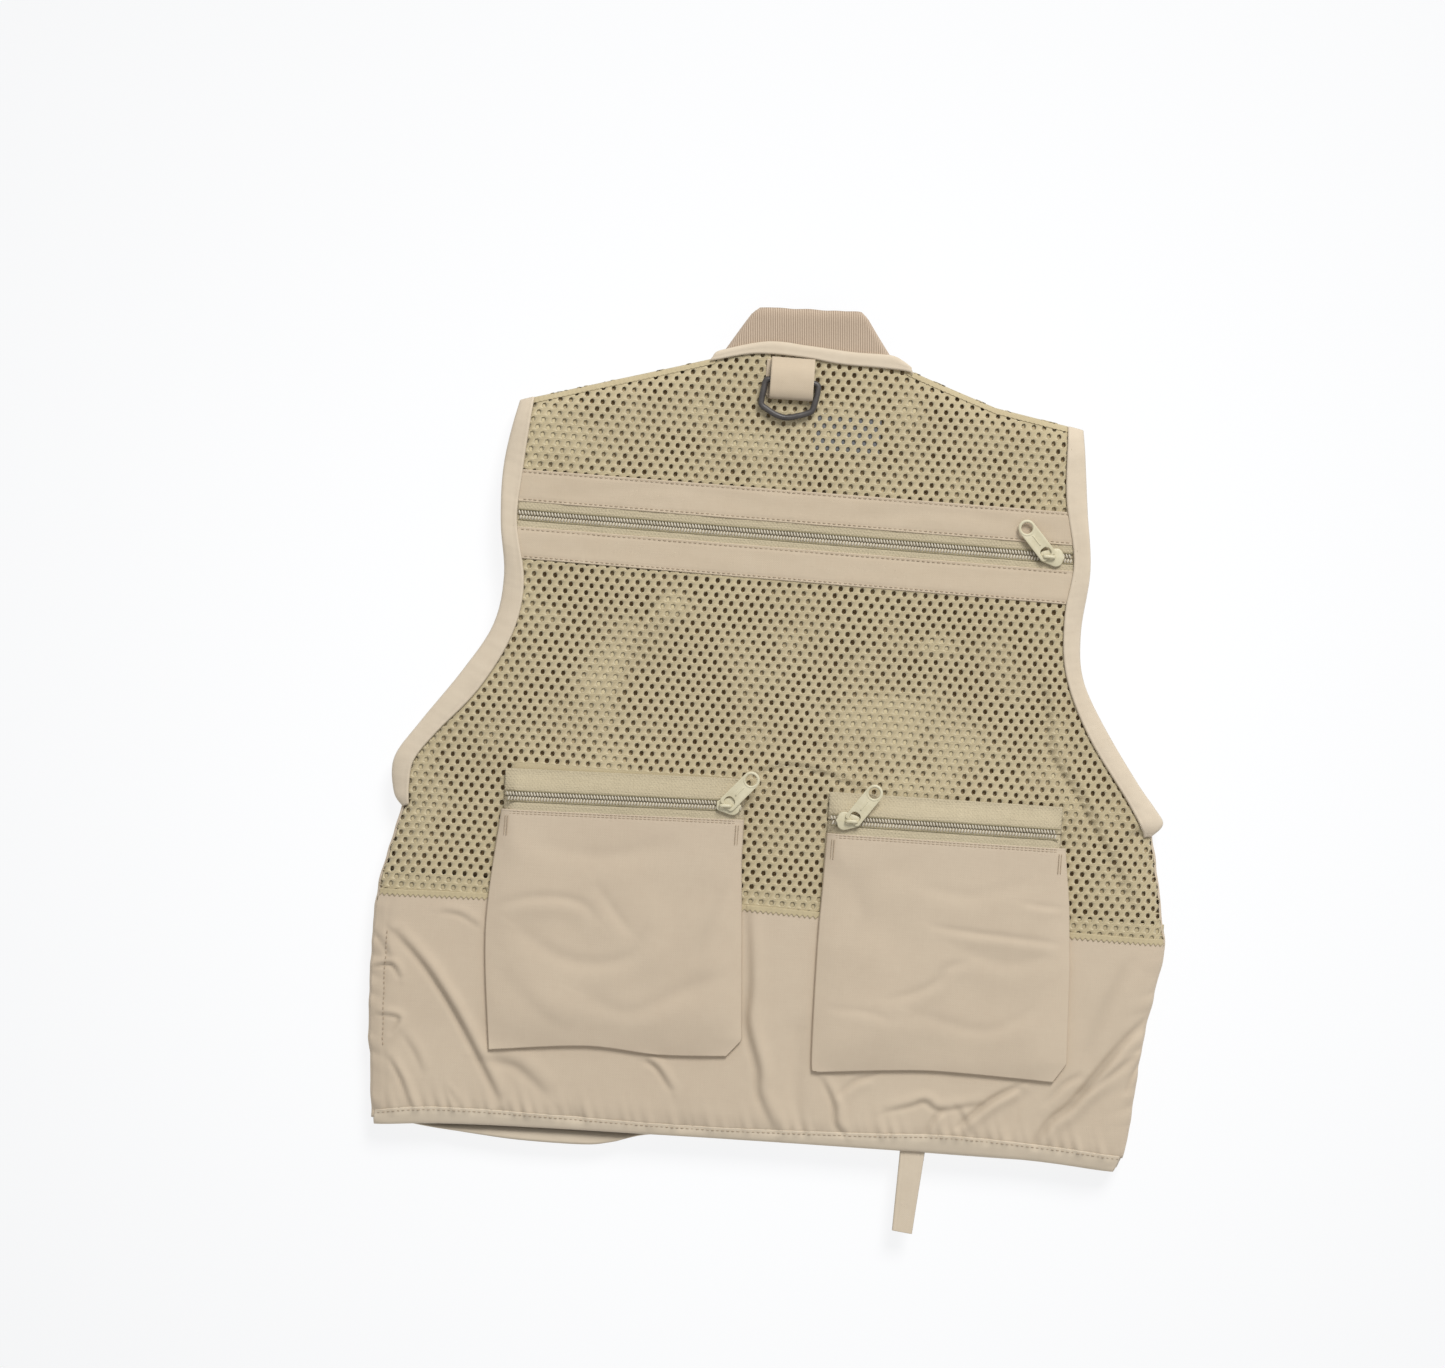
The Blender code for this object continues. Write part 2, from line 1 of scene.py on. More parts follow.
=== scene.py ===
# %% [markdown]
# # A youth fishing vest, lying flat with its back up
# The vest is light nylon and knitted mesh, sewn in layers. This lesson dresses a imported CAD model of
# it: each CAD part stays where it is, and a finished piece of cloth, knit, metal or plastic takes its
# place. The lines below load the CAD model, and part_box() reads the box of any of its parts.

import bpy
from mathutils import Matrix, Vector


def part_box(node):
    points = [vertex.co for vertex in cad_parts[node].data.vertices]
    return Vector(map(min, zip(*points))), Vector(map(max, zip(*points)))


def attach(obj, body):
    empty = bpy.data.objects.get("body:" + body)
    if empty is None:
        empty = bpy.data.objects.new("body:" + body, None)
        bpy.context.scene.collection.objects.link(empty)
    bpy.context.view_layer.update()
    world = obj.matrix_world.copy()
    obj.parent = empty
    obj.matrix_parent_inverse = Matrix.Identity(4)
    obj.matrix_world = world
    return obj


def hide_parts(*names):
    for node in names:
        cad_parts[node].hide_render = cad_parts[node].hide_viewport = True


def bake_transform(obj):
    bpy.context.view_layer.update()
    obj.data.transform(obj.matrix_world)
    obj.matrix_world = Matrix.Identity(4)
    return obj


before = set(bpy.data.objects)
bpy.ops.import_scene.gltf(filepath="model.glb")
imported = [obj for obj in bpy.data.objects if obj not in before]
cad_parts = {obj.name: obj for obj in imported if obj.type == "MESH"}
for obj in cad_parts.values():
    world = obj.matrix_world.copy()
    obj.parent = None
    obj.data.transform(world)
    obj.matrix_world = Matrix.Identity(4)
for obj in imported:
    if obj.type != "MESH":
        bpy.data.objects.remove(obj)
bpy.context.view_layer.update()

import math
from bisect import bisect_right

import bmesh
import bpy
from mathutils import Matrix, Vector, noise

# %% [markdown]
# ## Lengths in the vest's own pattern
# A sewn garment is drawn as flat pattern pieces, so every outline here is in millimetres on one flat
# pattern, and place() moves a point from the pattern into the frame. Each outline keeps only the
# points that give it its shape; smooth() runs an even curve through them.

# %% Pattern helpers
MM = 0.001
PATTERN_MIDDLE = (7.5, 3.5)


def place(x, y, z=0.0):
    return Vector((x - PATTERN_MIDDLE[0], y - PATTERN_MIDDLE[1], z)) * MM


def smooth(points, steps=6):
    """A Catmull-Rom line through the points."""
    ends = [points[0]] + list(points) + [points[-1]]
    line = []
    for i in range(1, len(points)):
        a, b, c, d = (Vector(ends[i + k]) for k in (-1, 0, 1, 2))
        for step in range(steps):
            t = step / steps
            line.append(tuple(0.5 * (2 * b + (c - a) * t + (2 * a - 5 * b + 4 * c - d) * t * t
                                     + (3 * b - a - 3 * c + d) * t ** 3)))
    return line + [tuple(points[-1])]


def clamp(value, low=0.0, high=1.0):
    return max(low, min(high, value))


def ease(value):
    """0 to 1 with a soft start and end."""
    t = clamp(value)
    return t * t * (3 - 2 * t)


def mix(a, b, t):
    return a + (b - a) * t


class Edge:
    """A line across or down the pattern, read at any x or at any y."""

    def __init__(self, points, down=False):
        self.points = sorted(points, key=lambda p: p[1 if down else 0])
        self.keys = [p[1 if down else 0] for p in self.points]
        self.values = [p[0 if down else 1] for p in self.points]

    def at(self, key):
        i = clamp(bisect_right(self.keys, key), 1, len(self.keys) - 1)
        low, high = self.keys[i - 1], self.keys[i]
        share = clamp((key - low) / (high - low)) if high > low else 0.0
        return mix(self.values[i - 1], self.values[i], share)


def level(height, left=-260.0, right=260.0):
    """A straight edge; height is one number, or the heights at two given places."""
    pair = height if isinstance(height, tuple) else (height, height)
    return Edge([(left, pair[0]), (right, pair[1])])


# %% Outlines of the back
LEFT_ARM_OUTER = [(-156.5, 201), (-162.5, 166), (-162, 132), (-158, 101), (-162, 72), (-178, 44),
                  (-200, 13), (-213, -8), (-212, -27), (-206.5, -35)]
LEFT_ARM_INNER = [(-149, 203.2), (-152.5, 158), (-153.5, 131), (-147, 97), (-151.5, 67), (-168, 35),
                  (-190, 9), (-202, -8), (-204, -22), (-203.5, -34)]
LEFT_SIDE = [(-206.5, -35), (-213, -64), (-217, -84), (-218, -121), (-216.5, -160), (-211, -209.5)]
RIGHT_ARM_OUTER = [(165.5, 207.3), (168.5, 181), (171, 158), (174.5, 127), (172, 92), (175, 66),
                   (188, 41), (210, 9), (222, -6), (227, -14), (221, -21)]
RIGHT_ARM_INNER = [(157, 208.6), (158.5, 168), (165.5, 132), (162.5, 101), (165.5, 68), (180.5, 34),
                   (205, -1), (215, -17), (217, -22)]
RIGHT_SIDE = [(221, -21), (228, -54), (233, -86), (230, -104), (224.5, -140), (221, -180),
              (218, -205), (214, -215)]
LEFT_SHOULDER = [(-156.5, 201), (-47, 233)]
RIGHT_SHOULDER = [(62.5, 234.5), (89.5, 225), (115, 216.3), (165.5, 207.3)]
NECK_LOWER = [(-47, 233), (-24, 238.2), (4, 237.8), (24, 235.6), (48, 235.2), (62.5, 234.5)]
NECK_UPPER = [(-43.5, 237.2), (-18, 243.9), (6, 243.0), (31, 241.3), (52, 241.2), (60, 238.3)]
HEM_SEAM = [(-211, -209.5), (-166, -204.2), (-31, -205), (65, -202), (120, -199.5), (183, -202),
            (218, -205)]
HEM_EDGE = [(-210, -218), (-160, -214), (-50, -212), (70, -211), (160, -211), (213, -214.5)]
BAND_TOP = Edge([(-152, 161.5), (159, 159.8)])
BAND_BOTTOM = Edge([(-148, 110.5), (163, 107.0)])
MESH_END = Edge([(-217, -85.0), (-8, -79), (35, -80.2), (233, -81.6)])


def gathered(line, amount=0.8):
    """A side seam pulls its edge into small waves."""
    return [(x + amount * noise.noise(Vector((x / 90, y / 8.5, 0.4))), y) for x, y in line]


side_left = Edge(smooth(LEFT_ARM_OUTER) + gathered(smooth(LEFT_SIDE, 12)[1:]), down=True)
side_right = Edge(smooth(RIGHT_ARM_OUTER) + gathered(smooth(RIGHT_SIDE, 12)[1:]), down=True)
inner_left = Edge(smooth(LEFT_ARM_INNER)[:-1] + smooth(LEFT_SIDE)[1:], down=True)
inner_right = Edge(smooth(RIGHT_ARM_INNER)[:-1] + smooth(RIGHT_SIDE)[1:], down=True)
top_edge = Edge(LEFT_SHOULDER + smooth(NECK_LOWER)[1:] + RIGHT_SHOULDER[1:])
hem_seam = Edge(smooth(HEM_SEAM))
hem_edge = Edge(smooth(HEM_EDGE))


# %% [markdown]
# ## Zips as straight lines
# Every zip here is straight, so a start point, an angle and a length say where it runs. The same two
# numbers, how far along and how far across, then place each tooth, tape and slider.

# %% Zip lines
class Zip:
    def __init__(self, start, end, low):
        self.start, self.low = Vector(start), low
        along = Vector(end) - self.start
        self.angle, self.length = math.atan2(along.y, along.x), along.length

    def point(self, along, across):
        return (self.start.x + along * math.cos(self.angle) - across * math.sin(self.angle),
                self.start.y + along * math.sin(self.angle) + across * math.cos(self.angle))

    def across(self, x, y):
        return (-(x - self.start.x) * math.sin(self.angle)
                + (y - self.start.y) * math.cos(self.angle))


CLOTH = 0.8
back_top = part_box("back_lower_panel")[1].z / MM
bag_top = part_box("left_pocket_bag")[1].z / MM
front_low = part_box("left_front_panel")[0].z / MM
STORAGE_ZIP = Zip((-151.0, 135.5), (160.5, 133.3), back_top - CLOTH)
LEFT_ZIP = Zip((-147.2, -24.6), (-13.6, -20.9), bag_top - CLOTH)
RIGHT_ZIP = Zip((37.6, -24.9), (167.4, -23.9), bag_top - CLOTH)
FRONT_ZIP = Zip((8.0, -212.0), (8.0, 231.0), front_low)
print("back cloth at", round(back_top, 2), "mm, pockets at", round(bag_top, 2), "mm")

# %% [markdown]
# ## How the cloth lies
# Cloth that lies on a table is never flat. It falls towards its edges, rises over what is under it,
# and keeps creases from how it was folded. A cloth simulation would crease in places of its own; here
# the creases are known, so one height function holds them all. Every piece of the back reads it, so
# neighbouring pieces meet at their seams. Each crease is a line with a height and a width.

# %% Creases and the height of the back
CREASES = [
    ([(-205, -108), (-187, -126), (-169, -150), (-151, -179), (-140, -198)], 3.0, 3.3),
    ([(-150, -176), (-134, -178), (-125, -183), (-112, -194)], 1.5, 5.0),
    ([(-173, 34), (-190, -10), (-200, -48), (-205, -80)], 1.2, 6.0),
    ([(-12, -5), (12, 3), (36, -1), (56, -8)], 1.6, 3.2),
    ([(150, 66), (156, 45), (160, 20), (177, -2), (196, -34), (214, -64)], 2.0, 4.6),
    ([(-6, -82), (-2, -122), (-2, -145), (6, -170), (8, -185), (19, -205)], 2.6, 3.8),
    ([(29, -143), (28, -163), (29, -186), (34, -204)], -1.5, 5.0),
    ([(44, -174), (51, -187), (53, -198), (58, -204)], 2.2, 2.6),
    ([(72, -169), (62, -173), (54, -181)], 1.2, 3.0),
    ([(81, -189), (95, -185), (103, -182), (112, -186), (134, -181)], 1.6, 2.8),
    ([(113, -186), (109, -190), (104, -200)], 1.5, 2.6),
    ([(122, -184), (127, -192), (130, -199)], 1.2, 2.4),
    ([(155, -169), (140, -178), (123, -194)], 2.6, 3.0),
    ([(160, -170), (155, -182), (152, -201)], -1.4, 4.0),
    ([(226, -125), (212, -141), (199, -159), (186, -177), (175, -187), (167, -201)], 3.0, 3.8),
    ([(219, -148), (207, -159), (191, -171)], 1.5, 3.4),
    ([(190, -160), (181, -166), (172, -177)], 1.3, 3.0),
    ([(-58, -170), (-51, -174), (-42, -186)], 1.9, 2.6),
    ([(-203, -180), (-196, -191), (-190, -206)], 1.8, 2.2),
    ([(-197, -165), (-189, -176), (-184, -186)], 0.9, 3.0),
    ([(-168, -194), (-165, -199), (-163, -205)], 0.9, 1.8),
    ([(-216, -128), (-206, -126), (-201, -133)], 1.8, 2.0),
    ([(-217, -109), (-211, -116), (-207, -123)], 1.0, 2.6),
    ([(-212, -155), (-200, -156), (-204, -165)], 1.4, 2.0),
    ([(-180, -94), (-169, -95), (-158, -101)], 0.9, 2.6),
    ([(226, -148), (220, -158), (217, -168)], 1.3, 2.2),
    ([(-130, 100), (-118, 112), (-113, 124)], 1.0, 1.6),
    ([(198, -40), (212, -20), (219, -26)], 1.2, 4.0),
    ([(212, -94), (200, -124), (192, -150)], 1.0, 7.0),
    ([(-120, 150), (-60, 156), (0, 148)], 0.8, 6.0),
    ([(40, 146), (95, 154), (150, 147)], 0.8, 6.0),
    ([(-62, 98), (-84, 76), (-98, 54), (-108, 36)], 1.4, 5.0),
    ([(44, 70), (30, 40), (26, 8)], -1.2, 5.0),
]
SIDE_FALL, SIDE_REACH = 4.6, 16.0
ARM_FALL, ARM_REACH = 3.4, 14.0


class Crease:
    """A fold: a valley along a line and a ridge on its left, both dying out at the ends. A
    negative rise gives a shallow hollow alone."""

    def __init__(self, points, rise, width):
        self.line = [Vector(p) for p in smooth(points, 4)]
        self.rise, self.width = rise, width
        reach = 3.2 * width
        self.low = [min(p[k] for p in self.line) - reach for k in (0, 1)]
        self.high = [max(p[k] for p in self.line) + reach for k in (0, 1)]

    def at(self, x, y):
        """Height in millimetres, and how deep in the fold the point lies, from 0 to 1, which is painted
        as shade.
        """
        if not (self.low[0] < x < self.high[0] and self.low[1] < y < self.high[1]):
            return 0.0, 0.0
        point, best, found, side = Vector((x, y)), 1e9, 0.0, 1
        steps = len(self.line) - 1
        for i in range(steps):
            a, b = self.line[i], self.line[i + 1]
            along = b - a
            t = clamp((point - a).dot(along) / along.length_squared)
            away = (point - a - along * t).length
            if away < best:
                best, found = away, (i + t) / steps
                side = 1 if along.cross(point - a) > 0 else -1
        taper = math.sin(math.pi * clamp(0.04 + 0.92 * found)) ** 0.6
        if self.rise < 0:
            return self.rise * taper * math.exp(-(best / self.width) ** 2), 0.0
        ridge = math.exp(-((side * best - 1.25 * self.width) / (1.05 * self.width)) ** 2)
        valley = math.exp(-(best / (0.55 * self.width)) ** 2)
        return (self.rise * taper * (0.62 * ridge - 0.75 * valley),
                clamp(0.12 * self.rise) * taper * valley)


def folds(creases, x, y):
    """Height and depth of shade of several folds together."""
    found = [crease.at(x, y) for crease in creases]
    return sum(f[0] for f in found), clamp(sum(f[1] for f in found))


back_creases = [Crease(*row) for row in CREASES]


def ripple(x, y, size, seed=0.0):
    return noise.noise(Vector((x / size, y / size, seed)))


def puckers(along, away, reach=7.0, rise=0.45, pitch=5.0, seed=3.0):
    """Small sharp gathers that a seam pulls into the cloth beside it."""
    if away > 3 * reach:
        return 0.0
    lean = along + 0.35 * away
    gather = 2.2 * abs(ripple(lean, 0.0, pitch, seed)) + ripple(lean, 0.0, pitch * 3, seed + 5)
    return rise * (gather - 0.4) * math.exp(-max(away, 0.0) / reach)


def bag_bulge(x, y):
    """The lining lifts the cloth a little above the two lower pockets."""
    near = math.exp(-((y + 10) / 15) ** 2)
    over = ease((x + 158) / 20) * ease((-2 - x) / 14) + ease((x - 26) / 14) * ease((180 - x) / 20)
    return 1.9 * near * over


def back_height(x, y):
    """Height of the top of the back cloth, in millimetres."""
    side = min(x - side_left.at(y), side_right.at(y) - x)
    armhole = ease((y + 30) / 25)
    fall, reach = mix(SIDE_FALL, ARM_FALL, armhole), mix(SIDE_REACH, ARM_REACH, armhole)
    z = -fall * (1 - clamp(side / reach)) ** 2
    z -= 3.2 * (1 - clamp((y - hem_edge.at(x)) / 16)) ** 2
    z -= 4.6 * (1 - clamp((top_edge.at(x) - y) / 16)) ** 2 * ease(abs(x - 6) / 52 - 0.6)
    z += 1.0 * ripple(x, y, 85, 1.0) + 0.5 * ripple(x, y, 38, 2.0) + 0.16 * ripple(x, y, 15, 4.0)
    z += folds(back_creases, x, y)[0]
    above = y - hem_seam.at(x)
    z += puckers(x, max(above, 0.0), 6.0, 1.7, 7.0) * ease((above + 6) / 6)
    z += puckers(y, side, 6.0, 0.9, 11.0, 8.0) * ease((-84 - y) / 8)
    z += bag_bulge(x, y)
    calm = ease((abs(STORAGE_ZIP.across(x, y)) - 9) / 30)
    return back_top + z * calm


print("height at the middle of the back:", round(back_height(0, 60), 2), "mm")

# %% [markdown]
# ## Colour and surface, as node groups
# Three effects show on every cloth of this vest: the tone drifts over the cloth, threads run both
# ways, and the weave catches light. Each is built once as a node group with named inputs, and put
# into each material with its own values. The groups read Object coordinates, so a pattern keeps its
# size in millimetres on every piece.

# %% Node helpers
def colour(red, green, blue):
    """A display colour from 0 to 255 as the linear values that Blender works in."""
    return tuple(((v / 255 + 0.055) / 1.055) ** 2.4 if v > 10 else v / 255 / 12.92
                 for v in (red, green, blue)) + (1.0,)


class Nodes:
    """Short names for adding and linking nodes."""

    def __init__(self, tree):
        self.tree = tree

    def add(self, kind, inputs=None, **settings):
        node = self.tree.nodes.new(kind)
        for name, value in settings.items():
            setattr(node, name, value)
        for name, value in (inputs or {}).items():
            if isinstance(value, bpy.types.NodeSocket):
                self.tree.links.new(value, node.inputs[name])
            else:
                node.inputs[name].default_value = value
        return node

    def math(self, operation, a, b=0.0):
        return self.add("ShaderNodeMath", {0: a, 1: b}, operation=operation).outputs[0]

    def noise(self, where, scale, detail=2.0, roughness=0.5):
        return self.add("ShaderNodeTexNoise", {"Vector": where, "Scale": scale, "Detail": detail,
                                               "Roughness": roughness}).outputs["Fac"]

    def stretched(self, scale):
        """Object coordinates, scaled differently along each axis."""
        where = self.add("ShaderNodeTexCoord").outputs["Object"]
        return self.add("ShaderNodeMapping", {"Vector": where, "Scale": scale}).outputs["Vector"]

    def ramp(self, value, low, high, to_low=0.0, to_high=1.0):
        return self.add("ShaderNodeMapRange", {"Value": value, "From Min": low, "From Max": high,
                                               "To Min": to_low, "To Max": to_high}).outputs["Result"]

    def blend(self, share, a, b):
        node = self.add("ShaderNodeMix", data_type="RGBA")
        for index, value in ((0, share), (6, a), (7, b)):
            if isinstance(value, bpy.types.NodeSocket):
                self.tree.links.new(value, node.inputs[index])
            else:
                node.inputs[index].default_value = value
        return node.outputs[2]


def new_group(name, inputs, outputs):
    tree = bpy.data.node_groups.new(name, "ShaderNodeTree")
    for label, kind, value in inputs:
        socket = tree.interface.new_socket(label, in_out="INPUT", socket_type="NodeSocket" + kind)
        socket.default_value = value
    for label, kind in outputs:
        tree.interface.new_socket(label, in_out="OUTPUT", socket_type="NodeSocket" + kind)
    nodes = Nodes(tree)
    return tree, nodes, nodes.add("NodeGroupInput"), nodes.add("NodeGroupOutput")


# %% [markdown]
# Washed and handled cloth drifts between two close tones, over the width of a hand and again over a
# few millimetres. Two noises give the drift.

# %% Drift of tone
def make_drift():
    tree, nodes, given, out = new_group(
        "cloth_drift",
        [("Light", "Color", (1, 1, 1, 1)), ("Dark", "Color", (0, 0, 0, 1)),
         ("Broad", "Float", 14.0), ("Fine", "Float", 160.0)],
        [("Color", "Color"), ("Mask", "Float")])
    where = nodes.add("ShaderNodeTexCoord").outputs["Object"]
    broad = nodes.noise(where, given.outputs["Broad"], 3.0)
    fine = nodes.noise(where, given.outputs["Fine"], 4.0, 0.6)
    mask = nodes.ramp(nodes.math("ADD", nodes.math("MULTIPLY", broad, 0.6),
                                 nodes.math("MULTIPLY", fine, 0.4)), 0.32, 0.68)
    made = nodes.blend(mask, given.outputs["Dark"], given.outputs["Light"])
    tree.links.new(made, out.inputs["Color"])
    tree.links.new(mask, out.inputs["Mask"])
    return tree


# %% [markdown]
# In a plain weave the threads run across and down. Each thread is a little thicker or thinner along
# its length, which shows as faint streaks both ways. Waves at the thread's own pitch make the relief,
# and two stretched noises make the streaks.

# %% Weave
def make_weave():
    tree, nodes, given, out = new_group(
        "plain_weave",
        [("Threads per metre", "Float", 1800.0), ("Streak", "Float", 1.0)],
        [("Height", "Float"), ("Tone", "Float")])
    where = nodes.add("ShaderNodeTexCoord").outputs["Object"]
    apart = nodes.add("ShaderNodeSeparateXYZ", {"Vector": where})
    turns = nodes.math("MULTIPLY", given.outputs["Threads per metre"], math.pi)
    warp = nodes.math("SINE", nodes.math("MULTIPLY", apart.outputs["X"], turns))
    weft = nodes.math("SINE", nodes.math("MULTIPLY", apart.outputs["Y"], turns))
    cross = nodes.math("MULTIPLY", warp, weft)
    across = nodes.noise(nodes.stretched((90, 1500, 90)), 1.0, 3.0, 0.6)
    down = nodes.noise(nodes.stretched((1500, 90, 90)), 1.0, 3.0, 0.6)
    streak = nodes.math("MULTIPLY", nodes.math("SUBTRACT", nodes.math("ADD", across, down), 1.0),
                        given.outputs["Streak"])
    tree.links.new(nodes.math("ADD", nodes.math("MULTIPLY", cross, 0.35), streak),
                   out.inputs["Height"])
    tree.links.new(nodes.math("ADD", nodes.math("MULTIPLY", streak, 0.9), 0.5),
                   out.inputs["Tone"])
    return tree


drift, weave = make_drift(), make_weave()

# %% [markdown]
# ## The finishes
# Every cloth material is the same recipe: drift, then streaks, then painted shade from the fold
# attribute, then a bump from the weave. What changes is the pair of tones and how coarse the threads
# are. A seam allowance or a folded edge is darker because light doesn't reach into it. The shape gives
# most of that, and the fold attribute adds a little painted shade in the creases.

# %% Cloth finishes
def new_material(name, roughness, metallic=0.0, sheen=0.0):
    made = bpy.data.materials.new(name)
    made.use_nodes = True
    shader = made.node_tree.nodes["Principled BSDF"]
    shader.inputs["Roughness"].default_value = roughness
    shader.inputs["Metallic"].default_value = metallic
    shader.inputs["Sheen Weight"].default_value = sheen
    return made, Nodes(made.node_tree), shader


def toned(nodes, light, dark, broad=14.0, fine=160.0):
    return nodes.add("ShaderNodeGroup", {"Light": light, "Dark": dark, "Broad": broad, "Fine": fine},
                     node_tree=drift)


def cloth_material(name, light, dark, threads=1800.0, streak=1.0, relief=0.25, roughness=0.85,
                   broad=14.0):
    made, nodes, shader = new_material(name, roughness, sheen=0.08)
    base = toned(nodes, light, dark, broad)
    threads = nodes.add("ShaderNodeGroup", {"Threads per metre": threads, "Streak": streak},
                        node_tree=weave)
    darker = tuple(0.8 * v for v in dark[:3]) + (1.0,)
    streaks = nodes.ramp(threads.outputs["Tone"], 0.2, 0.85, 0.14, 0.0)
    surface = nodes.blend(streaks, base.outputs["Color"], darker)
    # Painted shade: the fold attribute darkens the colour deep in the creases.
    painted_fold_shade = nodes.add("ShaderNodeAttribute", attribute_name="fold").outputs["Fac"]
    surface = nodes.blend(painted_fold_shade, surface, tuple(0.42 * v for v in dark[:3]) + (1.0,))
    links = made.node_tree.links
    links.new(surface, shader.inputs["Base Color"])
    bump = nodes.add("ShaderNodeBump", {"Height": threads.outputs["Height"], "Strength": relief,
                                        "Distance": 0.0003})
    links.new(bump.outputs["Normal"], shader.inputs["Normal"])
    return made


tan_cloth = cloth_material("tan_nylon", colour(203, 187, 165), colour(198, 181, 159))
band_cloth = cloth_material("tan_nylon_light", colour(201, 185, 162), colour(196, 179, 155))
binding_cloth = cloth_material("binding_tape", colour(213, 199, 178), colour(206, 191, 169),
                               streak=0.7)
tape_cloth = cloth_material("zip_tape", colour(199, 186, 157), colour(189, 176, 147), 900.0, 2.2,
                            0.8)
front_cloth = cloth_material("front_nylon", colour(205, 189, 167), colour(198, 181, 158))
thread = cloth_material("sewing_thread", colour(184, 166, 142), colour(166, 147, 124), 4000.0, 0.6,
                        0.4, 0.7)


# %% [markdown]
# The mesh is a warp knit. Round each hole the yarn makes a rim that catches light, and between holes it
# lies flatter. The mesh piece carries an attribute that is 1 at a hole's edge and 0 halfway to the next
# hole, so the relief follows the holes, and so do a painted highlight on each rim and painted shade at
# each hole's very edge.

# %% Knitted mesh, lining and rib
def mesh_material(name, light, dark, rim):
    made, nodes, shader = new_material(name, 0.8, sheen=0.12)
    base = toned(nodes, light, dark, 26.0, 300.0)
    edge = nodes.add("ShaderNodeAttribute", attribute_name="rim").outputs["Fac"]
    # Painted highlight: the colour lightens towards each hole's rim.
    painted_rim_highlight = nodes.ramp(edge, 0.35, 0.8, 0.0, 0.75)
    surface = nodes.blend(painted_rim_highlight, base.outputs["Color"], rim)
    # Painted shade: the colour darkens at each hole's very edge.
    fold = nodes.ramp(edge, 0.88, 1.0, 0.0, 0.55)
    surface = nodes.blend(fold, surface, tuple(0.45 * v for v in dark[:3]) + (1.0,))
    links = made.node_tree.links
    links.new(surface, shader.inputs["Base Color"])
    yarn = nodes.noise(nodes.stretched((1400, 700, 900)), 1.0, 3.0, 0.7)
    height = nodes.math("ADD", nodes.math("MULTIPLY", nodes.math("SINE", nodes.math(
        "MULTIPLY", edge, 3.1)), 0.6), nodes.math("MULTIPLY", yarn, 0.6))
    bump = nodes.add("ShaderNodeBump", {"Height": height, "Strength": 0.6, "Distance": 0.0004})
    links.new(bump.outputs["Normal"], shader.inputs["Normal"])
    return made


def lining_material():
    """Painted shade: dark where it hangs away from the mesh, and as light as the mesh where it touches
    it.
    """
    made, nodes, shader = new_material("lining_tricot", 0.9)
    touch = nodes.add("ShaderNodeAttribute", attribute_name="touch").outputs["Fac"]
    near = toned(nodes, colour(214, 200, 164), colour(200, 186, 150), 60.0, 400.0)
    # Painted shade: where the lining hangs clear its colour is darker, standing in for the shade inside
    # the holes.
    far = toned(nodes, colour(178, 152, 112), colour(152, 128, 92), 60.0, 400.0)
    surface = nodes.blend(touch, far.outputs["Color"], near.outputs["Color"])
    links = made.node_tree.links
    links.new(surface, shader.inputs["Base Color"])
    knit = nodes.noise(nodes.stretched((1800, 900, 900)), 1.0, 2.0)
    bump = nodes.add("ShaderNodeBump", {"Height": knit, "Strength": 0.3, "Distance": 0.0002})
    links.new(bump.outputs["Normal"], shader.inputs["Normal"])
    return made


def rib_material():
    made, nodes, shader = new_material("rib_knit", 0.9, sheen=0.1)
    base = toned(nodes, colour(209, 190, 169), colour(200, 181, 160), 30.0, 500.0)
    # Painted shade: the groove attribute darkens the colour between the ribs.
    groove = nodes.add("ShaderNodeAttribute", attribute_name="groove").outputs["Fac"]
    surface = nodes.blend(nodes.math("MULTIPLY", groove, 0.9), base.outputs["Color"],
                          colour(138, 118, 99))
    links = made.node_tree.links
    links.new(surface, shader.inputs["Base Color"])
    loops = nodes.noise(nodes.stretched((900, 1400, 900)), 1.0, 2.0, 0.7)
    bump = nodes.add("ShaderNodeBump", {"Height": loops, "Strength": 0.5, "Distance": 0.0003})
    links.new(bump.outputs["Normal"], shader.inputs["Normal"])
    return made


# The third colour is the painted highlight on the hole rims.
mesh_knit = mesh_material("olive_mesh", colour(191, 177, 143), colour(181, 166, 132),
                          colour(206, 193, 161))
lining_tricot = lining_material()
rib_knit = rib_material()


# %% [markdown]
# Hard parts: the zip's teeth are drawn nylon with a soft shine, the sliders are painted metal, and
# the ring is moulded plastic. Paint and plastic get fine specks and an uneven gloss, since a perfectly
# even gloss looks false.

# %% Hard finishes
def speckled_material(name, light, dark, roughness, metallic=0.0, grain=900.0, relief=0.15):
    made, nodes, shader = new_material(name, roughness, metallic)
    base = toned(nodes, light, dark, 120.0, grain)
    links = made.node_tree.links
    links.new(base.outputs["Color"], shader.inputs["Base Color"])
    links.new(nodes.ramp(base.outputs["Mask"], 0.0, 1.0, roughness - 0.08, roughness + 0.1),
              shader.inputs["Roughness"])
    where = nodes.add("ShaderNodeTexCoord").outputs["Object"]
    bump = nodes.add("ShaderNodeBump", {"Height": nodes.noise(where, grain, 2.0), "Strength": relief,
                                        "Distance": 0.0002})
    links.new(bump.outputs["Normal"], shader.inputs["Normal"])
    return made


teeth_nylon = speckled_material("coil_nylon", colour(214, 206, 189), colour(192, 184, 167), 0.45)
cord_nylon = speckled_material("coil_edge_cord", colour(152, 142, 112), colour(132, 122, 94), 0.7)
slider_paint = speckled_material("slider_paint", colour(214, 207, 180), colour(200, 191, 160), 0.38)
ring_plastic = speckled_material("moulded_plastic", colour(84, 80, 78), colour(62, 58, 57), 0.42)
label_satin = cloth_material("label_satin", colour(124, 123, 122), colour(104, 104, 106), 2400.0)
print(len(bpy.data.materials), "materials,", len(bpy.data.node_groups), "node groups")
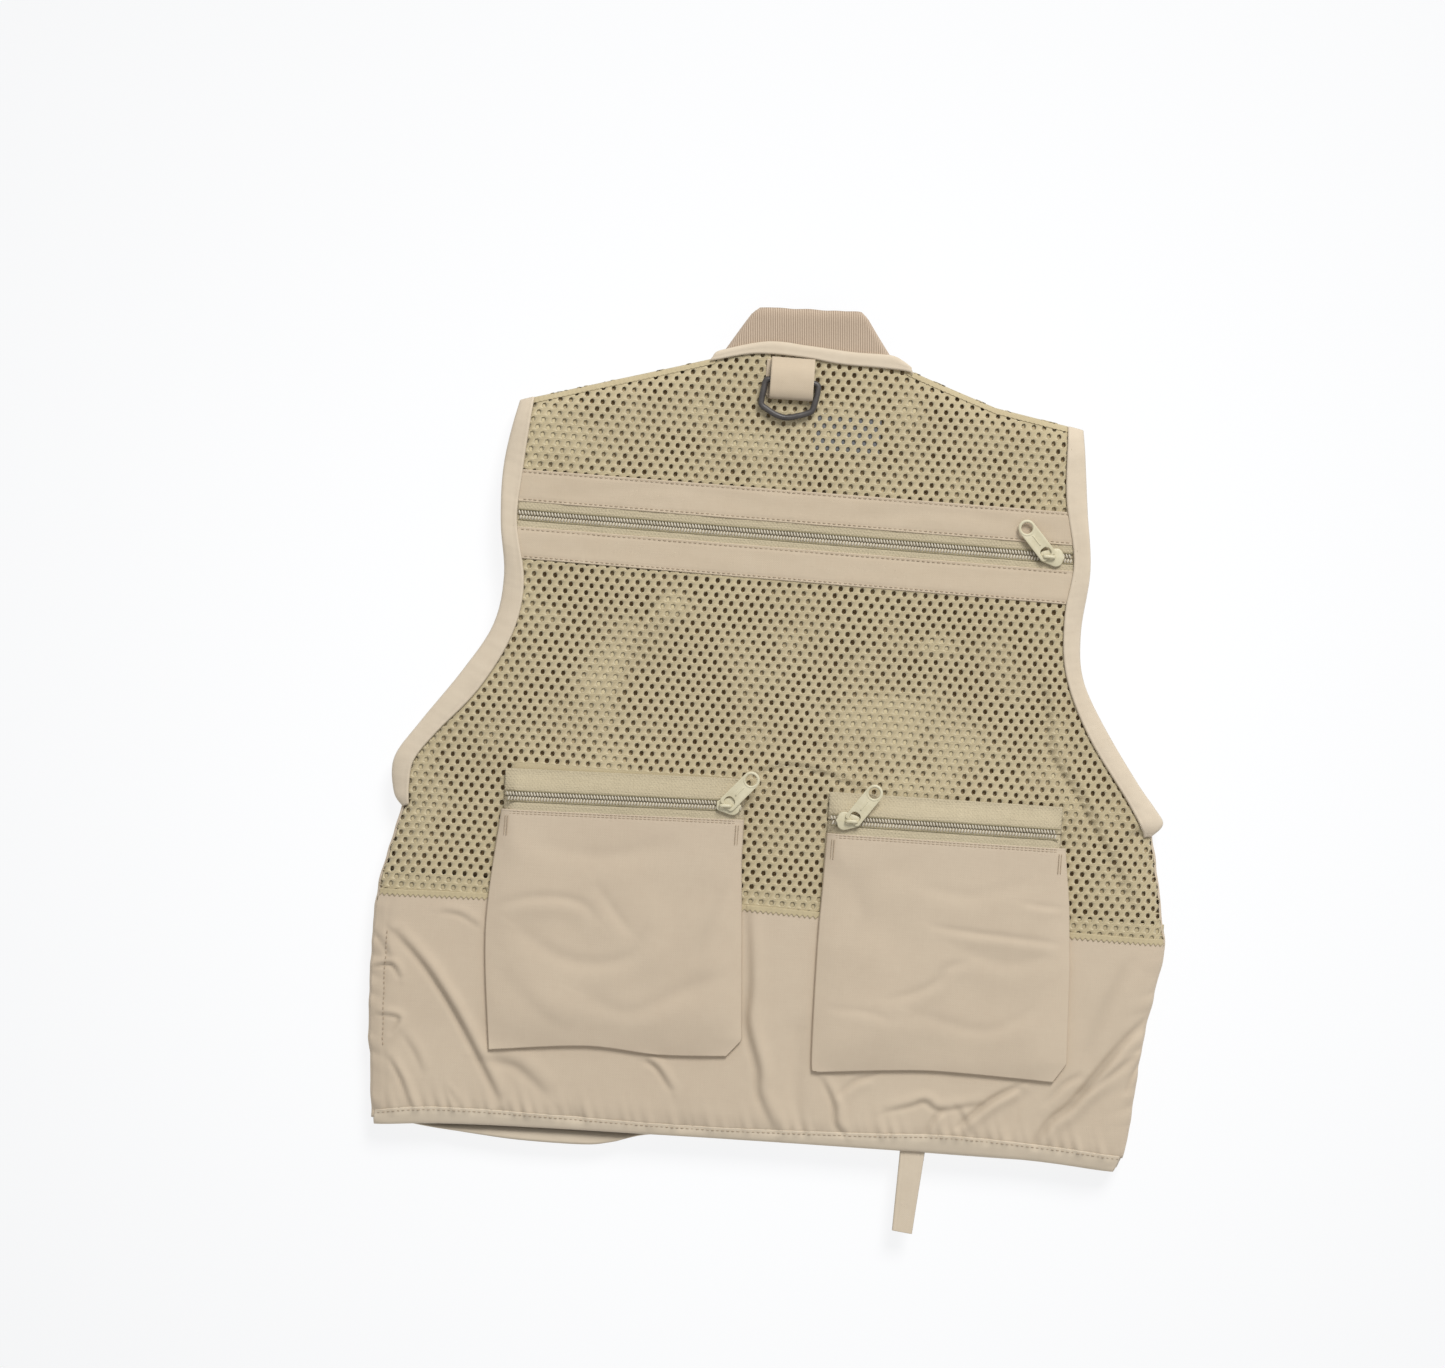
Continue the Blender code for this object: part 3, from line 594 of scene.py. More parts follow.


# %% [markdown]
# ## From a bmesh to a finished piece
# finish_piece() does for every piece what a maker would do by hand at the end: turn the faces outward,
# give cloth its thickness, shade it smooth, say which moving body it rides on, and hide the CAD parts it
# stands for. sheet_from_grid() starts from a flat grid and lays it where a function says.

# %% Finishing helpers
def finish_piece(name, shape, materials, replaces=(), body="vest", thickness=None,
                 closed=False, offset=-1.0):
    if closed:
        bmesh.ops.recalc_face_normals(shape, faces=shape.faces)
    for face in shape.faces:
        face.smooth = True
    mesh = bpy.data.meshes.new(name)
    shape.to_mesh(mesh)
    shape.free()
    made = bpy.data.objects.new(name, mesh)
    bpy.context.scene.collection.objects.link(made)
    for material in materials if isinstance(materials, (list, tuple)) else [materials]:
        mesh.materials.append(material)
    if thickness:
        wall = made.modifiers.new("thickness", "SOLIDIFY")
        wall.thickness, wall.offset = thickness * MM, offset
    if body:
        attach(made, body)
    if replaces:
        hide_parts(*replaces)
    return made


def declare(made):
    """Hands the piece back as it is; it records nothing about it.

    Known fault: area should be the cut's own flat area, and it is the finished mesh's.
    """
    return made


def sheet_from_grid(columns, rows, where, downwards=False, attribute=None):
    """A grid laid in the pattern by where(u, v), with u and v from 0 to 1."""
    shape = bmesh.new()
    bmesh.ops.create_grid(shape, x_segments=columns, y_segments=rows, size=0.5)
    layer = shape.verts.layers.float.new(attribute) if attribute else None
    for vertex in shape.verts:
        found = where(vertex.co.x + 0.5, vertex.co.y + 0.5)
        vertex.co = place(*found[:3])
        if layer:
            vertex[layer] = found[3]
    if downwards:
        bmesh.ops.reverse_faces(shape, faces=shape.faces)
    return shape


def crowd(t, edge, share=0.12):
    """Moves grid lines towards both ends, so that a folded edge has enough of them."""
    if t < share:
        return edge * t / share
    if t > 1 - share:
        return 1 - edge * (1 - t) / share
    return mix(edge, 1 - edge, (t - share) / (1 - 2 * share))


def folded(distance, radius=0.7, drop=0.8):
    """How far a folded edge has turned down, at a distance from it."""
    t = clamp(distance / radius)
    return -drop * (1 - math.sqrt(max(0.0, 1 - (1 - t) ** 2)))


def between_edges(u, v, left, right, low, high):
    """The point at u across and v up, between two side edges and a lower and an upper edge."""
    x = 0.0
    for _ in range(4):
        y = mix(low.at(x), high.at(x), v)
        x = mix(left.at(y), right.at(y), u)
    return x, mix(low.at(x), high.at(x), v)


# %% [markdown]
# ## Stitches
# A row of lockstitch shows as short raised dashes that sit in a slight groove. Each dash is a small
# stretched sphere with few faces, turned along its seam and laid on the cloth.

# %% Stamps and stitch rows
STITCH, STITCH_GAP = 2.1, 2.9


def bead(segments, rings):
    """A small sphere as a mesh, to be stretched and stamped many times."""
    shape = bmesh.new()
    bmesh.ops.create_uvsphere(shape, u_segments=segments, v_segments=rings, radius=MM)
    mesh = bpy.data.meshes.new("bead")
    shape.to_mesh(mesh)
    shape.free()
    return mesh


def stamp(shape, mesh, middle, turn, size):
    """Adds one copy of a mesh to a bmesh, stretched by size, turned and moved to middle."""
    copy = mesh.copy()
    copy.transform(Matrix.Translation(middle) @ turn @ Matrix.Diagonal((*size, 1)))
    shape.from_mesh(copy)
    bpy.data.meshes.remove(copy)


stitch_bead, coil_bead = bead(5, 4), bead(6, 5)


def walk(line, step):
    """Points and directions every step along a line."""
    found, left = [], step / 2
    for a, b in zip(line, line[1:]):
        a, b = Vector(a), Vector(b)
        span = (b - a).length
        while span > 0 and left <= span:
            found.append((a + (b - a) * (left / span), (b - a).normalized()))
            left += step
        left -= span
    return found


def stitch_rows(name, rows, height, body="vest", lift=0.1, thick=0.3, upwards=True,
                step=STITCH_GAP, length=STITCH):
    """One piece that holds every dash of the given rows."""
    shape = bmesh.new()
    sign = 1 if upwards else -1
    for row in rows:
        for point, along in walk(row, step):
            ahead, behind = point + along * 0.8, point - along * 0.8
            slope = (height(*ahead) - height(*behind)) / 1.6
            turn = Vector((along.x, along.y, slope)).to_track_quat("X", "Z").to_matrix().to_4x4()
            stamp(shape, stitch_bead, place(*point, height(*point) + sign * lift), turn,
                  (length / 2, thick, thick))
    return finish_piece(name, shape, thread, body=body, closed=True)


def side_line(edge, high, low, shift=0.0, step=4.0):
    count = max(2, int((high - low) / step))
    return [(edge.at(mix(high, low, i / count)) + shift, mix(high, low, i / count))
            for i in range(count + 1)]


def across_line(edge, start, end, shift=0.0, step=4.0):
    count = max(2, int(abs(end - start) / step))
    return [(mix(start, end, i / count), edge.at(mix(start, end, i / count)) + shift)
            for i in range(count + 1)]


# %% [markdown]
# ## The knitted mesh, with real holes
# The mesh has a staggered grid of oval holes. A picture of holes would stay flat when seen from the
# side, so the holes are cut. A grid is sheared into the stagger, each cell's edges are split so that it
# can turn into an oval, the cell is inset, and the inner face is moved onto an oval and deleted.

# %% Mesh panels
HOLE_PITCH, HOLE_ROW = 5.95, 4.22
HOLE_HALF = (1.14, 1.72)
KNIT = 0.55
hidden_by_bags = [(-146, -14, -4, -160), (42, 164, -16, -160)]


def holed_mesh(low_corner, high_corner, keep, height, closed_at=None, shift=(0.0, 0.0)):
    """A sheet of mesh over a rectangle of the pattern, kept where keep(x, y) is true."""
    width, depth = high_corner[0] - low_corner[0], high_corner[1] - low_corner[1]
    rows = math.ceil(depth / HOLE_ROW)
    columns = math.ceil(width / HOLE_PITCH + rows / 2) + 1
    shape = bmesh.new()
    rim = shape.verts.layers.float.new("rim")
    bmesh.ops.create_grid(shape, x_segments=columns, y_segments=rows, size=0.5)
    for vertex in shape.verts:
        i, j = round((vertex.co.x + 0.5) * columns), round((vertex.co.y + 0.5) * rows)
        vertex.co = (low_corner[0] + shift[0] + (i - rows / 2 + j / 2) * HOLE_PITCH,
                     low_corner[1] + shift[1] + j * HOLE_ROW, 0)
    outside = [face for face in shape.faces if not keep(*face.calc_center_median().xy)]
    bmesh.ops.delete(shape, geom=outside, context="FACES")
    cells = [face for face in shape.faces
             if not (closed_at and closed_at(*face.calc_center_median().xy))]
    centres = [face.calc_center_median().copy() for face in cells]
    edges = list({edge for face in cells for edge in face.edges})
    bmesh.ops.bisect_edges(shape, edges=edges, cuts=2)
    bmesh.ops.inset_individual(shape, faces=cells, thickness=0.4, depth=0.0)
    for face, centre in zip(cells, centres):
        swell = 1 + 0.16 * ripple(centre.x, centre.y, 9, 7.0)
        half = (HOLE_HALF[0] * swell, HOLE_HALF[1] * (1 + 0.1 * ripple(centre.x, centre.y, 20, 8.0)))
        for vertex in face.verts:
            away = vertex.co - centre
            angle = math.atan2(away.y / half[1], away.x / half[0])
            vertex.co = centre + Vector((half[0] * math.cos(angle), half[1] * math.sin(angle), 0))
            vertex[rim] = 1.0
    bmesh.ops.delete(shape, geom=cells, context="FACES_ONLY")
    for vertex in shape.verts:
        x, y = vertex.co.xy
        x, y = x + 1.3 * ripple(x, y, 55, 11.0), y + 1.0 * ripple(x, y, 55, 12.0)
        y = min(y, top_edge.at(x) - 0.3)
        x = clamp(x, side_left.at(y) + 0.6, side_right.at(y) - 0.6)
        vertex.co = place(x, y, height(x, y))
    return shape


def mesh_height(x, y):
    return back_height(x, y) - 0.25


def under_bag(x, y):
    return any(low < x < high and bottom < y < top for low, high, top, bottom in hidden_by_bags)


def on_yoke(x, y):
    return (inner_left.at(y) - 5 < x < inner_right.at(y) + 5
            and BAND_TOP.at(x) - 4 < y < top_edge.at(x) + 0.8)


def on_back(x, y):
    return (inner_left.at(y) - 5 * ease((y + 30) / 10) - 1 < x < inner_right.at(y)
            + 5 * ease((y + 30) / 10) + 1 and MESH_END.at(x) - 4 < y < BAND_BOTTOM.at(x) + 4)


yoke = finish_piece("back_yoke_mesh_cloth", holed_mesh((-165, 150), (175, 246), on_yoke, mesh_height),
                    mesh_knit, ["back_yoke_mesh"], thickness=KNIT)
declare(yoke)
back_mesh = finish_piece("back_mesh_cloth",
                         holed_mesh((-226, -90), (240, 118), on_back, mesh_height, under_bag),
                         mesh_knit, ["back_mesh"], thickness=KNIT)
declare(back_mesh)
print("mesh panels:", len(yoke.data.polygons), "and", len(back_mesh.data.polygons), "faces")

# %% [markdown]
# Where the mesh is sewn to the tan panel its edge is turned under, so for about 10 mm a second layer
# closes the holes. The outer edge is a chain of small knitted loops, which lie on the tan panel. Both
# are plain sheets: the loops come from the wave of the edge.

# %% Turned edge of the mesh
TURNED, LOOP_STEP = 10.5, 3.0


def strip_sheet(count, rows, where_strip):
    """A sheet all along the lower edge of the mesh."""
    def where(u, v):
        x = mix(side_left.at(-82) + 0.8, side_right.at(-82) - 0.8, u)
        return where_strip(x, v)
    return sheet_from_grid(count, rows, where)


def turned_at(x, v):
    y = MESH_END.at(x) + mix(-2.5, TURNED, v)
    return x, y, back_height(x, y) - 1.0 + 0.15 * ripple(x, y, 3.0, 13.0)


def loops_at(x, v):
    wave = 0.5 + 0.5 * math.cos(x * 2 * math.pi / LOOP_STEP + 2.0 * ripple(x, 0, 9, 14.0))
    y = MESH_END.at(x) + mix(-0.6 - 1.3 * wave, 2.2, v)
    return x, y, back_height(x, y) + 0.4 + 0.2 * wave * (1 - v)


declare(finish_piece("mesh_turning", strip_sheet(300, 12, turned_at), mesh_knit,
                     thickness=KNIT))
declare(finish_piece("mesh_edge_loops", strip_sheet(1500, 5, loops_at), mesh_knit,
                     thickness=0.45))

# %% [markdown]
# ## The lining under the mesh
# Behind the mesh hangs the thin lining of the big back pocket. Where it hangs clear, the holes look
# dark, and where it lies against the mesh they look light. The lining's own height makes both, and an
# attribute paints the same shade into its colour: dark where the lining hangs clear, light where it
# touches.

# %% Lining
TOUCHING = [
    (-142, 180, 22, 13, 0.8), (-112, 178, 18, 10, 0.4), (-52, 206, 7, 12, 0.6),
    (-22, 185, 17, 8, 1.1), (18, 200, 26, 12, 0.5), (150, 163, 14, 8, 0.6), (120, 190, 40, 22, 0.25),
    (-62, 94, 9, 12, 0.6), (-84, 74, 11, 13, 0.7), (-100, 50, 14, 15, 0.95), (-100, 26, 15, 15, 0.8),
    (-92, 2, 16, 10, 0.5), (-127, 78, 9, 9, 0.5), (6, 62, 12, 24, 0.45), (30, 86, 11, 9, 0.5),
    (47, 65, 9, 11, 0.7), (90, 78, 14, 6, 0.7), (128, 74, 11, 13, 0.6), (62, 32, 24, 18, 0.9),
    (100, 26, 30, 18, 0.95), (50, 6, 16, 14, 0.6), (92, -2, 24, 9, 0.7), (162, 34, 10, 14, 0.7),
    (162, 6, 12, 12, 0.45), (190, -18, 14, 14, 0.55), (205, -58, 14, 12, 0.7), (-4, -10, 9, 7, 0.6),
    (-6, 18, 9, 7, 0.4), (-190, -20, 13, 16, 0.65), (-168, -50, 10, 9, 0.5), (-160, 10, 14, 14, 0.3),
]


def contact(x, y):
    """1 where the lining lies against the mesh, and 0 where it hangs clear."""
    patch = 0.04 + 0.7 * ripple(x, y, 26, 21.0) + 0.45 * ripple(x, y, 12, 22.0)
    patch += 0.16 * ease((y - 150) / 10)
    for at_x, at_y, reach_x, reach_y, share in TOUCHING:
        if abs(x - at_x) < 2.2 * reach_x and abs(y - at_y) < 2.2 * reach_y:
            patch += share * math.exp(-((x - at_x) / reach_x) ** 2 - ((y - at_y) / reach_y) ** 2)
    patch += 0.5 * math.exp(-((x - side_left.at(y) - 12) / 9) ** 2)
    return clamp(patch * 1.1)


def lining_at(u, v):
    x, y = between_edges(u, v, inner_left, inner_right, level(-72), level(164))
    touch = contact(x, y)
    return x, y, back_height(x, y) - 0.92 - 2.0 * (1 - touch), touch


def yoke_lining_at(u, v):
    x, y = between_edges(u, v, inner_left, inner_right, level(157), top_edge)
    touch = contact(x, y)
    return x, y - 0.4, back_height(x, y) - 0.95 - 1.9 * (1 - touch), touch


declare(finish_piece("storage_lining_cloth", sheet_from_grid(130, 90, lining_at, attribute="touch"),
                     lining_tricot, ["storage_lining"], thickness=0.4))
declare(finish_piece("yoke_facing", sheet_from_grid(110, 26, yoke_lining_at, attribute="touch"),
                     lining_tricot, thickness=0.4))


# %% [markdown]
# The neck label is a plain woven patch behind the mesh. It carries no words.

# %% Neck label
def label_at(u, v):
    x, y = mix(12, 50, u), mix(184, 206, v)
    return x, y, back_height(x, y) - 0.95 - 0.25 * math.sin(3.0 * u)


declare(finish_piece("neck_label_cloth", sheet_from_grid(16, 10, label_at), label_satin,
                     ["neck_label"], thickness=0.25))


# %% [markdown]
# ## Bands beside the long zip
# Two tan bands frame the long zip of the back pocket. Each is a strip folded under at both edges and
# stitched near its folds. The fold is a rounded edge: the outermost rows of the grid turn down.

# %% Bands
def groove(distance, at, depth=0.32, width=0.7):
    """The dent that a row of stitches pulls into cloth."""
    return -depth * math.exp(-((distance - at) / width) ** 2)


def band(name, low, high, node, stitched):
    def where(u, v):
        v = crowd(v, 0.05, 0.16)
        x, y = between_edges(mix(-0.005, 1.005, u), v, inner_left, inner_right, low, high)
        to_low, to_high = y - low.at(x), high.at(x) - y
        near = min(to_low, to_high)
        z = back_height(x, y) + 0.55 + folded(near) + groove(to_low, stitched[0])
        z += groove(to_high, stitched[1])
        z += puckers(x, near, 3.0, 0.3, 4.0, high.at(0)) + 0.25 * ripple(x, 3 * y, 24, 30.0)
        return x, y, z
    made = finish_piece(name, sheet_from_grid(220, 22, where), band_cloth, [node],
                        thickness=0.5)
    return declare(made)


zip_edges = [(-200, 135.85), (200, 133.02)]
ABOVE_GAP, BELOW_GAP = 7.4, 6.6
above_zip = Edge([(x, y + ABOVE_GAP) for x, y in zip_edges])
below_zip = Edge([(x, y - BELOW_GAP) for x, y in zip_edges])
band("storage_band_upper_cloth", above_zip, BAND_TOP, "storage_band_upper", (1.6, 1.5))
band("storage_band_lower_cloth", BAND_BOTTOM, below_zip, "storage_band_lower", (1.5, 1.6))
stitch_rows("storage_band_stitches",
            [across_line(above_zip, -151, 162, 1.6), across_line(BAND_TOP, -152, 160, -1.5),
             across_line(below_zip, -151, 163, -1.6), across_line(BAND_BOTTOM, -148, 162, 1.5)],
            lambda x, y: back_height(x, y) + 0.38)


# %% [markdown]
# ## The lower panel and the hem
# The tan panel below the mesh carries most of the creases. It is one sheet with a close grid, so that
# each crease is round. The hem under it is a folded strip, pulled a little by its seam.

# %% Lower panel and hem
panel_low = Edge([(x, y - 3.2) for x, y in smooth(HEM_SEAM)])


def lower_panel_at(u, v):
    u, v = crowd(u, 0.006, 0.03), crowd(v, 0.008, 0.03)
    x, y = between_edges(u, v, side_left, side_right, panel_low, MESH_END)
    z = back_height(x, y) + 0.15 + folded(MESH_END.at(x) - y, 0.6, 0.6)
    z -= 0.7 * ease((hem_seam.at(x) - y) / 1.2)
    side = min(x - side_left.at(y), side_right.at(y) - x)
    z += folded(side, 1.2, 1.4) - 0.35 * math.exp(-((x - side_left.at(y) - 8) / 0.8) ** 2)
    # The fourth value is the depth of painted shade in the creases.
    return x, y, z, folds(back_creases, x, y)[1]


def hem_at(u, v):
    v = crowd(v, 0.1, 0.25)
    x, y = between_edges(u, v, Edge([(-210, -218), (-211, -209)], down=True),
                         Edge([(213.5, -214.5), (218, -205)], down=True), hem_edge, hem_seam)
    to_edge, to_seam = y - hem_edge.at(x), hem_seam.at(x) - y
    z = back_height(x, y) + 0.5 + folded(to_edge, 1.3, 1.6) + folded(to_seam, 1.6, 0.4)
    z += folded(min(x + 211, 217.5 - x), 1.4, 2.6)
    z += 0.3 * puckers(x, to_seam, 4.0, 1.0, 3.5, 9.0)
    return x, y, z + groove(to_seam, 1.9, 0.25, 0.6) - 0.4 * math.exp(-((x + 143) / 0.6) ** 2)


lower_panel = finish_piece("back_lower_panel_cloth",
                           sheet_from_grid(370, 112, lower_panel_at, attribute="fold"), tan_cloth,
                           ["back_lower_panel"], thickness=0.5)
declare(lower_panel)
declare(finish_piece("back_hem_cloth", sheet_from_grid(340, 12, hem_at), binding_cloth, ["back_hem"],
                     thickness=0.6))
side_stitch = side_line(side_left, -106, -172, 8.0)
stitch_rows("hem_stitches", [across_line(hem_seam, -209, 216, -1.9), side_stitch],
            lambda x, y: back_height(x, y) + (0.32 if y < hem_seam.at(x) else 0.05))


# %% [markdown]
# ## Bindings round the armholes and the neck
# A binding is a strip folded over a raw edge. It is thicker at the fold, has a stitched groove near its
# inner edge, and wrinkles a little on the curve because its outer side is longer than its inner one.

# %% Bindings
def polyline_at(line, t):
    """Position at a share of the way along a line."""
    total = sum((Vector(b) - Vector(a)).length for a, b in zip(line, line[1:]))
    goal = t * total
    for a, b in zip(line, line[1:]):
        span = (Vector(b) - Vector(a)).length
        if goal <= span or b is line[-1]:
            return Vector(a) + (Vector(b) - Vector(a)) * clamp(goal / span if span else 0)
        goal -= span
    return Vector(line[-1])


def binding_sheet(outer, inner, height, columns, rows=12, upwards=True, rise=0.9):
    sign = 1 if upwards else -1
    outer_line, inner_line = smooth(outer), smooth(inner)
    starts = [(polyline_at(outer_line, i / columns), polyline_at(inner_line, i / columns))
              for i in range(columns + 1)]

    def where(u, v):
        out, into = starts[round(u * columns)]
        v = crowd(v, 0.12, 0.3)
        point = out + (into - out) * v
        width = (into - out).length
        away, inside = v * width, (1 - v) * width
        wrinkle = 0.16 * ripple(u * 420 - away * 0.8, 0.0, 4.5, outer[0][0])
        wrinkle += 0.12 * ripple(u * 420 + away, away, 9.0, 2.0)
        lift = rise + folded(away, 1.6, 1.9) + folded(inside, 0.6, 0.6) + groove(inside, 1.7, 0.25, 0.5)
        return point.x, point.y, height(point.x, point.y) + sign * (lift + wrinkle)

    facing = (outer_line[0][0] < inner_line[0][0]) == upwards
    return sheet_from_grid(columns, rows, where, downwards=facing)


def line_between(outer, inner, share, count=90):
    a, b = smooth(outer), smooth(inner)
    return [tuple(polyline_at(a, i / count).lerp(polyline_at(b, i / count), share))
            for i in range(count + 1)]


for side, outer, inner in (("left", LEFT_ARM_OUTER, LEFT_ARM_INNER),
                           ("right", RIGHT_ARM_OUTER, RIGHT_ARM_INNER)):
    made = finish_piece(f"{side}_armhole_binding_back_cloth",
                        binding_sheet(outer, inner, back_height, 200), binding_cloth,
                        [f"{side}_armhole_binding_back"], thickness=0.6)
    declare(made)
stitch_rows("armhole_stitches",
            [line_between(LEFT_ARM_OUTER, LEFT_ARM_INNER, 0.8),
             line_between(RIGHT_ARM_OUTER, RIGHT_ARM_INNER, 0.8)],
            lambda x, y: back_height(x, y) + 0.8, thick=0.34)


def neck_height(x, y):
    return back_height(x, min(y, 228)) + 0.2


NECK_SEWN = [(-50, 231.4)] + [(x, y - 1.0) for x, y in NECK_LOWER] + [(66, 232.0)]
NECK_FOLD = [(-47.5, 234.6)] + NECK_UPPER + [(64.5, 235.2)]
declare(finish_piece("neck_binding_cloth",
                     binding_sheet(NECK_FOLD, NECK_SEWN, neck_height, 90, 10), binding_cloth,
                     ["neck_binding"], thickness=0.6))
stitch_rows("neck_stitches", [line_between(NECK_FOLD, NECK_SEWN, 0.8, 40)],
            lambda x, y: neck_height(x, y) + 0.85, thick=0.34)


# %% [markdown]
# ## The rib-knit collar
# The collar is one band of rib knit that lies flattened: it runs up the back with upright ribs, turns
# round at each slanting side, and comes back along the front as far as the front opening. Its grid has
# four columns to each rib, so that the ridges are real, and an attribute paints shade into the grooves.

# %% Collar
RIB_PITCH = 1.28
RIBS = 150
RIB_RELIEF, RIB_LEAN = 0.15, -1.9
COLLAR_LOW, COLLAR_HIGH, COLLAR_MIDDLE = 239.5, 264.6, 5.2
TURN_LENGTH, FRONT_GAP = 12.0, 9.0
HALF_BAND = RIBS * RIB_PITCH / 2
collar_foot = Edge(NECK_UPPER)


def collar_at(u, v):
    along = HALF_BAND * (1 - 2 * u)
    ridge, relief = math.cos(2 * math.pi * along / RIB_PITCH), RIB_RELIEF
    along += RIB_LEAN * v
    side, along = math.copysign(1, along), abs(along)
    half_x = mix(49.5, 30.8, v ** 0.9) - 1.6 * ease((v - 0.86) / 0.14)
    half_z = mix(5.2, 4.2, v) * (1 - 0.4 * ease((v - 0.86) / 0.14))
    flat = half_x - 3.2
    if along < flat:
        across, height, out = along, 1.0, 0.0
    elif along < flat + TURN_LENGTH:
        turned = math.pi * (along - flat) / TURN_LENGTH
        across, height, out = flat + 3.2 * math.sin(turned), math.cos(turned), math.sin(turned)
    else:
        rest = HALF_BAND - flat - TURN_LENGTH
        across = mix(flat, FRONT_GAP, (along - flat - TURN_LENGTH) / rest)
        height, out, relief = -1.0, 0.0, RIB_RELIEF * (flat - FRONT_GAP) / rest
    x = COLLAR_MIDDLE + side * (across + 0.12 * ridge * out)
    z = 14.2 + height * (half_z + relief * ridge)
    low = min(COLLAR_LOW, collar_foot.at(x) - 2.0)
    y = mix(low, COLLAR_HIGH, v) + (0.9 * (x - COLLAR_MIDDLE) / 40 + 0.45 * ripple(x, 0, 9)) * v
    return x, y, z + 0.5 * ripple(x, y, 20, 40.0) * ease(v * 3), 0.5 - 0.5 * ridge


collar = finish_piece("collar_rib_knit", sheet_from_grid(RIBS * 4, 12, collar_at, True, "groove"),
                      rib_knit, ["collar_rib"], thickness=1.0)
declare(collar)


# %% [markdown]
# ## Pockets on the lower back
# Each lower pocket is a bag of the same nylon, sewn down on three sides. It swells away from its
# edges. Its side and lower edges turn down to the back; its top edge is folded beside the zip.

# %% Lower back pockets
POCKET_CREASES = [
    ([(176, -86), (144, -84), (124, -83), (100, -81)], 1.7, 3.6),
    ([(178, -65), (163, -65), (150, -64)], 1.1, 3.0),
    ([(120, -100), (109, -104), (104, -112), (93, -119), (78, -124)], 1.7, 4.6),
    ([(168, -93), (143, -99), (116, -93)], 1.2, 7.0),
    ([(159, -124), (134, -138), (94, -131)], 1.2, 6.0),
    ([(80, -136), (65, -132), (40, -132)], 0.9, 4.0),
    ([(52, -60), (60, -80), (50, -104)], 1.3, 9.0),
    ([(-92, -90), (-99, -83), (-113, -80), (-133, -82), (-151, -88)], 1.8, 5.0),
    ([(-64, -96), (-71, -110), (-90, -116), (-111, -113), (-133, -101)], 1.9, 7.5),
    ([(-17, -117), (-41, -128), (-68, -142), (-92, -136)], 1.8, 8.0),
    ([(-70, -98), (-79, -88), (-92, -72)], 1.3, 5.0),
    ([(-20, -68), (-27, -90), (-33, -108)], 1.4, 6.0),
    ([(-139, -128), (-120, -146), (-100, -158)], 1.0, 8.0),
    ([(150, -52), (120, -62), (90, -58)], 1.0, 7.0),
    ([(-56, -44), (-90, -54), (-130, -50)], 0.9, 8.0),
]
pocket_creases = [Crease(*row) for row in POCKET_CREASES]


class Bag:
    def __init__(self, left, right, low, line):
        self.left, self.right = Edge(smooth(left), down=True), Edge(right, down=True)
        self.low, self.line = Edge(smooth(low)), line
        self.top = Edge([line.point(-12, -7.6), line.point(line.length + 18, -7.6)])

    def rise(self, x, y):
        """How far the bag has swollen at a point, from 0 at its sewn edges to 1."""
        away = [x - self.left.at(y), self.right.at(y) - x, y - self.low.at(x)]
        side = mix(22, 8, ease(1 - (self.top.at(x) - y) / 45))
        return math.prod(math.sin(math.pi / 2 * clamp(d / r)) if d > 0 else 0.0
                         for d, r in zip(away, (side, side, 30)))

    def height(self, x, y):
        rise = self.rise(x, y)
        base = back_height(x, y) + 1.7
        z = mix(base, bag_top + 0.1, rise)
        calm = ease((abs(self.line.across(x, y)) - 9) / 26)
        soft = 1.3 * ripple(x, y, 48, 50.0) + 0.6 * ripple(x, y, 22, 51.0) - 0.5
        soft += 0.5 * folds(pocket_creases, x, y)[0]
        soft += puckers(y, x - self.left.at(y), 5.0, 0.5, 9.0)
        return z + soft * calm * ease(rise * 1.2)

    def bartacks(self):
        """Short dense rows of thread beside both ends of the mouth."""
        rows = []
        for edge, inwards in ((self.left, 1), (self.right, -1)):
            for inset in (3.2, 4.6):
                x, y = edge.at(-36) + inwards * inset, self.top.at(edge.at(-36)) - 3.5
                rows.append([(x, y), (x, y - 11.0)])
        return rows

    def sheet_at(self, u, v):
        u, v = crowd(u, 0.008, 0.05), crowd(v, 0.008, 0.05)
        x, y = between_edges(u, v, self.left, self.right, self.low, self.top)
        edge = min(x - self.left.at(y), self.right.at(y) - x, y - self.low.at(x))
        z = self.height(x, y) + 1.1 + folded(edge, 0.8, 3.0) + folded(self.top.at(x) - y, 0.6, 0.5)
        z += groove(self.top.at(x) - y, 1.5, 0.2, 0.6)
        # The fourth value is the depth of painted shade in the pocket's creases.
        return x, y, z - 1.1 * self.rise(x, y) ** 2, 0.35 * folds(pocket_creases, x, y)[1]


